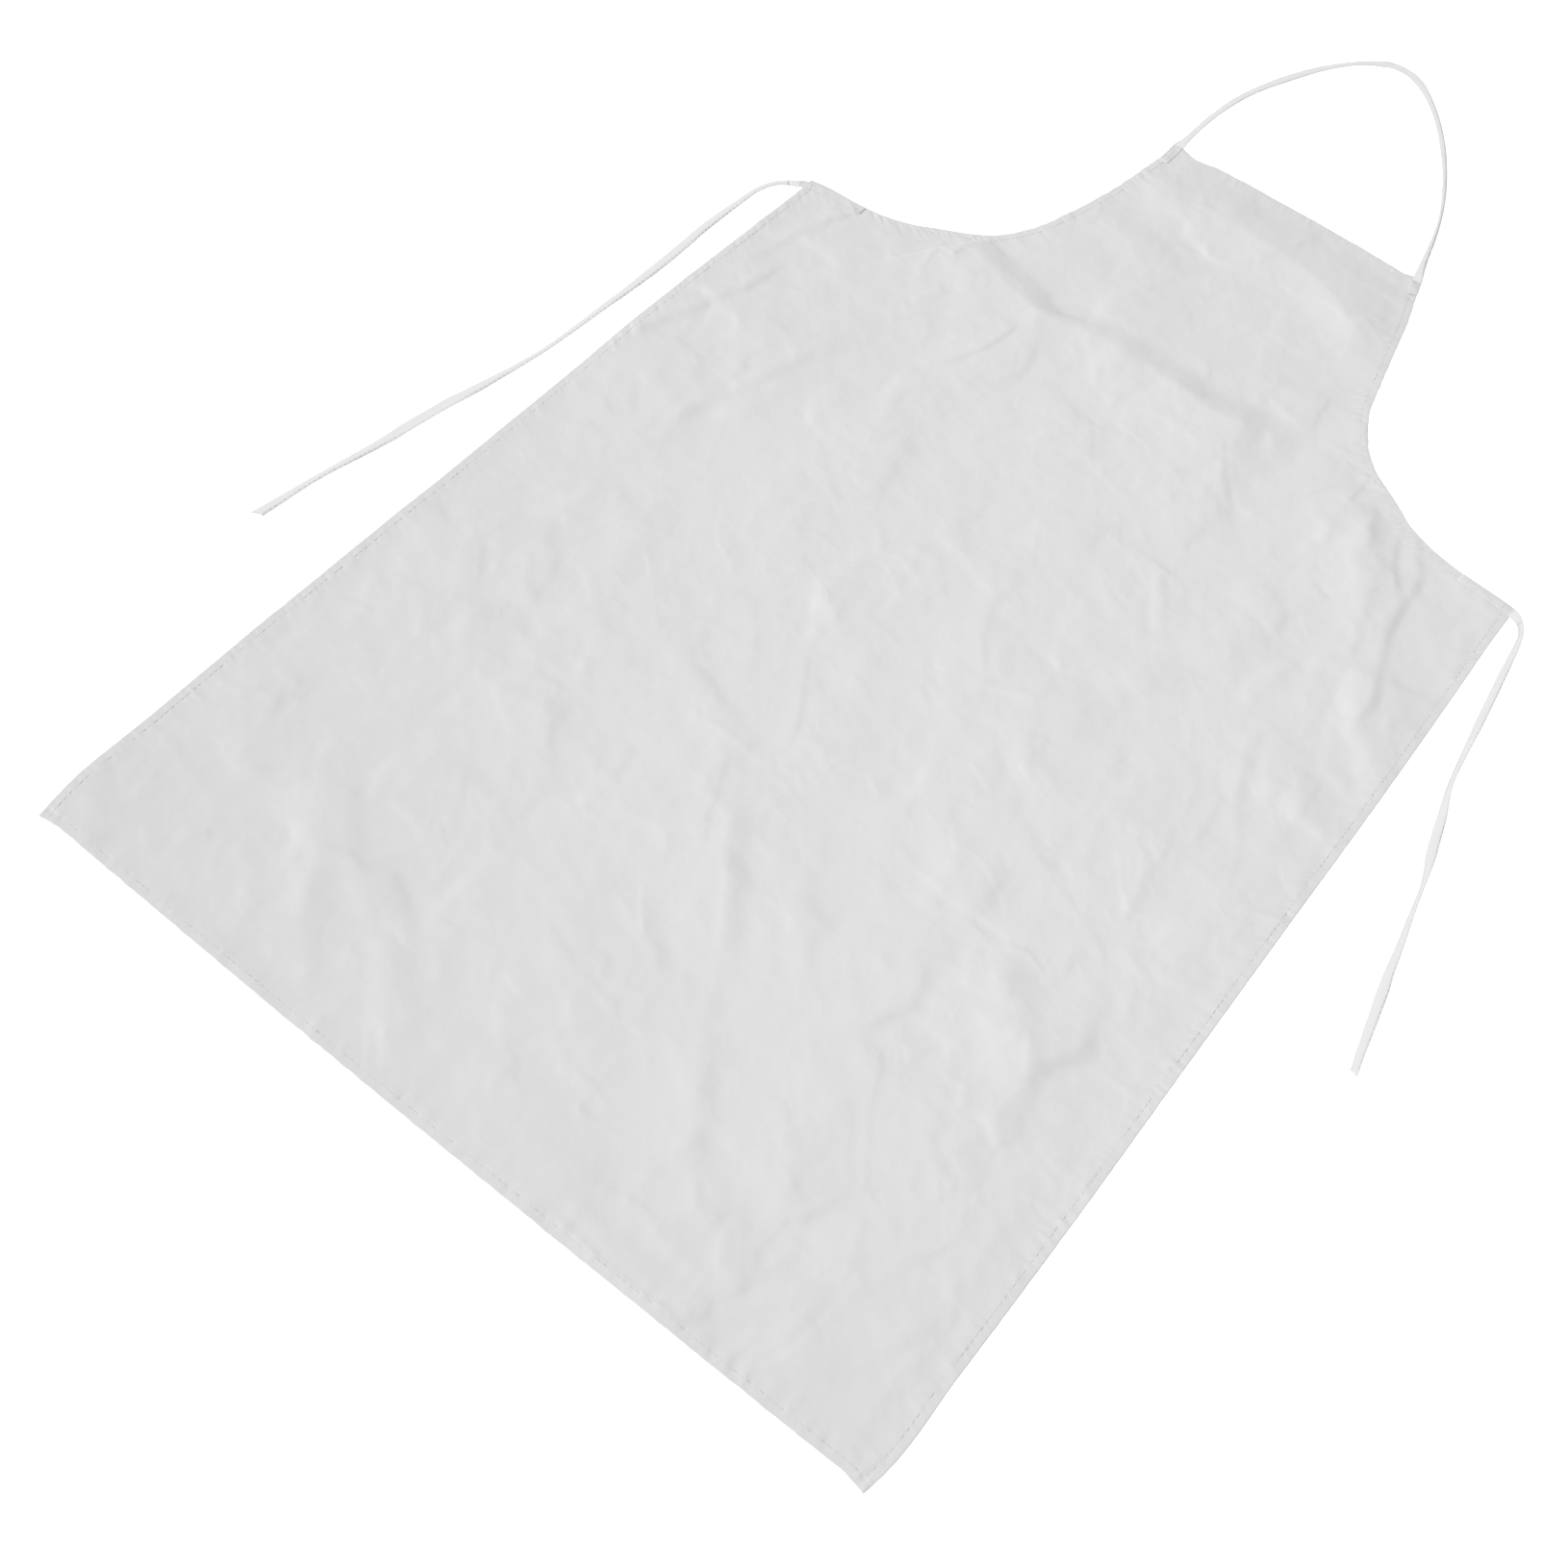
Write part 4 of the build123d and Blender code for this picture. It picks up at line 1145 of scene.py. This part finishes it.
def build_strap(stations, on_panel, seed, cup, slant, both_sewn, sewn_length):
    """Rings of a folded strip. cup gives its hollow from the run; slant angles its far end."""
    path, roll, width = lay(stations, on_panel, seed)
    run = distances(path)
    # sewn ends are pressed thin and flat
    tip = np.minimum(run, run[-1] - run) if both_sewn else run
    loose = smooth(sewn_length - 4, sewn_length + 14, tip)
    hollow = loose * (cup(run) * smooth(0.8, 1.0, width / STRAP_WIDTH) - arch(width))
    width = width * (1 + 0.04 * noise(run / 35.0 + seed, 0, 320))
    thick = STRAP_T * (0.40 + 0.60 * loose) * (0.35 + 0.65 * smooth(0, 5, tip))

    tangent = np.gradient(path, axis=0)
    tangent /= np.linalg.norm(tangent, axis=1)[:, None]
    left = left_of(path)
    roll = np.radians(roll)[:, None]
    across = left * np.cos(roll) + np.cross(tangent, left) * np.sin(roll)
    normal = np.cross(tangent, across)

    count = len(ACROSS)
    profile = np.sqrt(np.clip(1 - np.abs(ACROSS) ** 9, 0.0, 1)) * 0.5
    profile[0] = profile[-1] = 0.14
    # a folded strip is fuller at its folded edge than at its stitched edge
    profile *= 1.0 + 0.18 * -ACROSS
    seam_groove = 0.16 * np.exp(-(((ACROSS - STRAP_SEAM) / 0.05) ** 2))
    rings = np.zeros((len(path), 2 * count, 3))
    for k, u in enumerate(ACROSS):
        ripple = 0.14 * noise(run / 9.0 + seed, u * 1.3, 300)
        ripple = ripple + 0.09 * noise(run / 4.1, u * 2.2 + seed, 301)
        rise = hollow * (u * u - 0.35) * width * 0.5 + ripple * (0.2 + 0.8 * loose)
        centre = path + across * (u * width[:, None] * 0.5) + normal * rise[:, None]
        half = ((profile[k] - seam_groove[k] * loose) * thick)[:, None]
        rings[:, k] = centre + normal * half
        rings[:, -1 - k] = centre - normal * half
        shift = tangent[-1] * (slant * u * width[-1] * 0.5)
        rings[-1, k] += shift
        rings[-1, -1 - k] += shift

    # the sewn parts follow the panel across their width too
    on = on_panel(path[:, 0], path[:, 1])
    for i in np.where(on > 0.01)[0]:
        centre = (rings[i, :count] + rings[i, count:][::-1]) / 2
        panel = front_height(centre[:, 0], centre[:, 1])
        lift = panel + STRAP_T * 0.2 + 0.06 - centre[:, 2]
        lift -= np.clip(lift - np.median(lift), -9, 0) * 0.3
        rings[i, :count, 2] += lift * on[i]
        rings[i, count:, 2] += lift[::-1] * on[i]
    return SimpleNamespace(
        path=path, rings=rings, run=run, tangent=tangent, across=across, normal=normal
    )


def strap_piece(name, rings, sewn, *replaced):
    """sewn: runs of rings that lie stitched on the panel and take the panel's tone; the other
    rings keep the strap cloth, whose lighter grey is painted light.
    """
    quads = tube_quads(*rings.shape[:2])
    ob = mesh_object(name, rings.reshape(-1, 3), quads, strap_cloth)
    if sewn:
        ob.data.materials.append(cloth)
        ring = quads.min(axis=1) // rings.shape[1]
        on = np.zeros(len(quads), bool)
        for first, last in sewn:
            on |= (ring >= first) & (ring < last)
        ob.data.polygons.foreach_set("material_index", on.astype(np.int32))
    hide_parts(*replaced)
    return ob


def strap_stitches(name, strap, start, replaced):
    """Stitches along the strap's closing seam, on both faces."""
    k = int(np.argmin(np.abs(ACROSS - STRAP_SEAM)))
    marks = np.arange(start, strap.run[-1] - 2.0, STITCH_PITCH)

    def at_marks(values):
        return np.stack([np.interp(marks, strap.run, column) for column in values.T], 1)

    parts = []
    for place, sign in ((k, 1.0), (-1 - k, -1.0)):
        normals = at_marks(strap.normal) * sign
        points = at_marks(strap.rings[:, place]) + normals * 0.05
        step = np.diff(at_marks(strap.rings[:, place]), axis=0) * 0.1
        up = (normals[1:] + normals[:-1]) / 2
        parts.append(stitches(points[:-1] + step, points[1:] - step, up, radius=0.2, proud=0.12))
    return thread_piece(name, parts, replaced)


neck = build_strap(
    NECK, lambda x, y: smooth(275, 266, y), seed=1.0,
    cup=lambda run: 0.10 + 0.10 * noise(run / 70.0, 0, 330),
    slant=0.0, both_sewn=True, sewn_length=24.0,
)
on_bib = np.where(neck.path[:, 1] < 269.0)[0]
neck_middle = len(neck.path) // 2
neck_sewn = [
    (0, on_bib[on_bib < neck_middle].max()),
    (on_bib[on_bib > neck_middle].min(), len(neck.path)),
]
neck_loop = strap_piece(
    "neck_strap_loop", neck.rings, neck_sewn,
    "neck_strap", "neck_strap_left_sewn_end", "neck_strap_right_sewn_end",
)
neck_stitches = strap_stitches("neck_strap_stitches", neck, 2.0, "neck_strap_edge_seam")


def waist_tie(side, stations, sign, seed):
    """A tie in two pieces: the fixed one from its sewn end round the corner, and the free one."""
    strap = build_strap(
        stations, lambda x, y: smooth(352, 344, sign * x), seed,
        cup=lambda run: 0.08 + 0.12 * noise(run / 60.0 + seed * 5, 0, 331),
        slant=0.7 * sign, both_sewn=False, sewn_length=58.0,
    )
    name = f"waist_tie_{side}"
    outward = sign * strap.path[:, 0]
    split = int(np.argmax(outward > 358.5))
    edge = int(np.argmax(outward > 350.0))
    strap.fixed = strap_piece(
        name + "_fixed", strap.rings[: split + 1], [(0, edge)], name + "_sewn_end", name + "_root"
    )
    strap.free = strap_piece(name + "_free", strap.rings[split:], (), name)
    strap.stitches = strap_stitches(
        name + "_stitches", strap, strap.run[split] + 1.0, name + "_edge_seam"
    )
    return strap


ties = {
    "left": waist_tie("left", TIE_LEFT, -1, 2.0),
    "right": waist_tie("right", TIE_RIGHT, 1, 3.0),
}

# ------------------------------------------------------------------ bar tacks
TACK_LENGTH = 6.4  # across the strap
TACK_WIDTH = 1.2
TACK_STITCHES = 13
NECK_TACKS_Y = (264.5, 249.0)
WAIST_TACKS_X = {"left": (341.0, 296.0), "right": (341.0, 308.0)}


def bar_tack(strap, j):
    """A close zigzag of thread across the strap at its point j."""
    k = np.arange(TACK_STITCHES + 1)
    swing = np.where(k % 2 == 0, -0.5, 0.5)
    points = strap.path[j] + np.outer((k / TACK_STITCHES - 0.5) * TACK_LENGTH, strap.across[j])
    points += np.outer(swing * TACK_WIDTH, strap.tangent[j])
    points[:, 2] = front_height(points[:, 0], points[:, 1]) + STRAP_T * 0.4 + 0.10
    up = np.repeat(strap.normal[j][None], TACK_STITCHES, 0)
    return stitches(points[:-1], points[1:], up, radius=0.15)


def neck_tacks(side):
    x, y = neck.path[:, 0], neck.path[:, 1]
    half = np.where((x < 0) == (side == "left"))[0]
    parts = [bar_tack(neck, half[np.argmin(np.abs(y[half] - at))]) for at in NECK_TACKS_Y]
    return thread_piece(f"neck_tack_{side}", parts, f"neck_strap_{side}_bar_tacks")


def waist_tacks(side, sign):
    tie = ties[side]
    beyond = (tie.path[:, 1] < -20) * 1e3  # keeps to the sewn end
    parts = [
        bar_tack(tie, int(np.argmin(np.abs(tie.path[:, 0] * sign - at) + beyond)))
        for at in WAIST_TACKS_X[side]
    ]
    return thread_piece(f"waist_tack_{side}", parts, f"waist_tie_{side}_bar_tacks")


SIDES = (("left", -1), ("right", 1))
on_bib_tacks = [neck_tacks(side) for side, _ in SIDES]
on_skirt_tacks = [waist_tacks(side, sign) for side, sign in SIDES]


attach(upper, "skirt")
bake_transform(bib)
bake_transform(lower)
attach(bottom_seam, "lower_skirt")
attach(top_seam, "bib")
for i, (side, _) in enumerate(SIDES):
    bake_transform(side_seams[side])
    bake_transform(armhole_seams[side])
    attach(on_bib_tacks[i], "bib")
    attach(on_skirt_tacks[i], "skirt")
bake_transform(neck_loop)
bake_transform(neck_stitches)
for side, sign in SIDES:
    tie, root = ties[side], f"tie_{side}_root"
    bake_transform(tie.fixed)
    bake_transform(tie.free)
    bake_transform(tie.stitches)

# ------------------------------------------------------------------ floor, light, camera
scene = bpy.context.scene


def add_object(name, data):
    ob = bpy.data.objects.new(name, data)
    scene.collection.objects.link(ob)
    return ob


def floor_material():
    """Glowing white seen from above, clear from below."""
    material, tree, bsdf, output = new_material("floor_white")
    set_inputs(tree, bsdf, {
        "Base Color": (0.93, 0.93, 0.93, 1), "Roughness": 0.9, "Specular IOR Level": 0.1,
        "Emission Color": (1, 1, 1, 1), "Emission Strength": 0.62,
    })
    geometry = add_node(tree, "NewGeometry")
    clear = add_node(tree, "BsdfTransparent")
    mix = add_node(tree, "MixShader", {
        0: geometry.outputs["Backfacing"], 1: bsdf.outputs[0], 2: clear.outputs[0],
    })
    tree.links.new(mix.outputs[0], output.inputs[0])
    material.cycles.emission_sampling = "NONE"
    return material


def make_floor(half=12, z=-0.0001):
    material = floor_material()
    mesh = bpy.data.meshes.new("floor")
    corners = [(-half, -half, z), (half, -half, z), (half, half, z), (-half, half, z)]
    mesh.from_pydata(corners, [], [(0, 1, 2, 3)])
    mesh.materials.append(material)
    add_object("floor", mesh)


def make_lights():
    world = bpy.data.worlds.new("studio")
    scene.world = world
    world.use_nodes = True
    background = world.node_tree.nodes["Background"]
    background.inputs["Color"].default_value = (1, 1, 1, 1)
    background.inputs["Strength"].default_value = 0.45

    key = bpy.data.lights.new("key", "SUN")
    key.energy = 2.3
    key.angle = math.radians(20)
    towards_key = Vector((*-AWAY_FROM_KEY, 0.70)).normalized()
    add_object("key", key).rotation_euler = towards_key.to_track_quat("Z", "Y").to_euler()

    overhead = bpy.data.lights.new("overhead", "AREA")
    overhead.shape = "DISK"
    overhead.size = 0.9
    overhead.energy = 5.0
    add_object("overhead", overhead).location = (0.01, -0.22, 1.45)


def make_camera():
    data = bpy.data.cameras.new("camera")
    data.lens = 45.06
    data.sensor_width = 36.0
    data.clip_start = 0.05
    data.clip_end = 50
    right = (0.78540, 0.61326, 0.08386)
    up = (-0.55864, 0.64402, 0.52266)
    backward = (0.26651, -0.45737, 0.84840)
    place = Matrix((right, up, backward)).transposed().to_4x4()
    place.translation = Vector(EYE * MM)
    camera = add_object("camera", data)
    camera.matrix_world = place
    scene.camera = camera


make_floor()
make_lights()
make_camera()
scene.view_settings.view_transform = "Standard"
scene.view_settings.look = "None"
scene.view_settings.exposure = 0.0
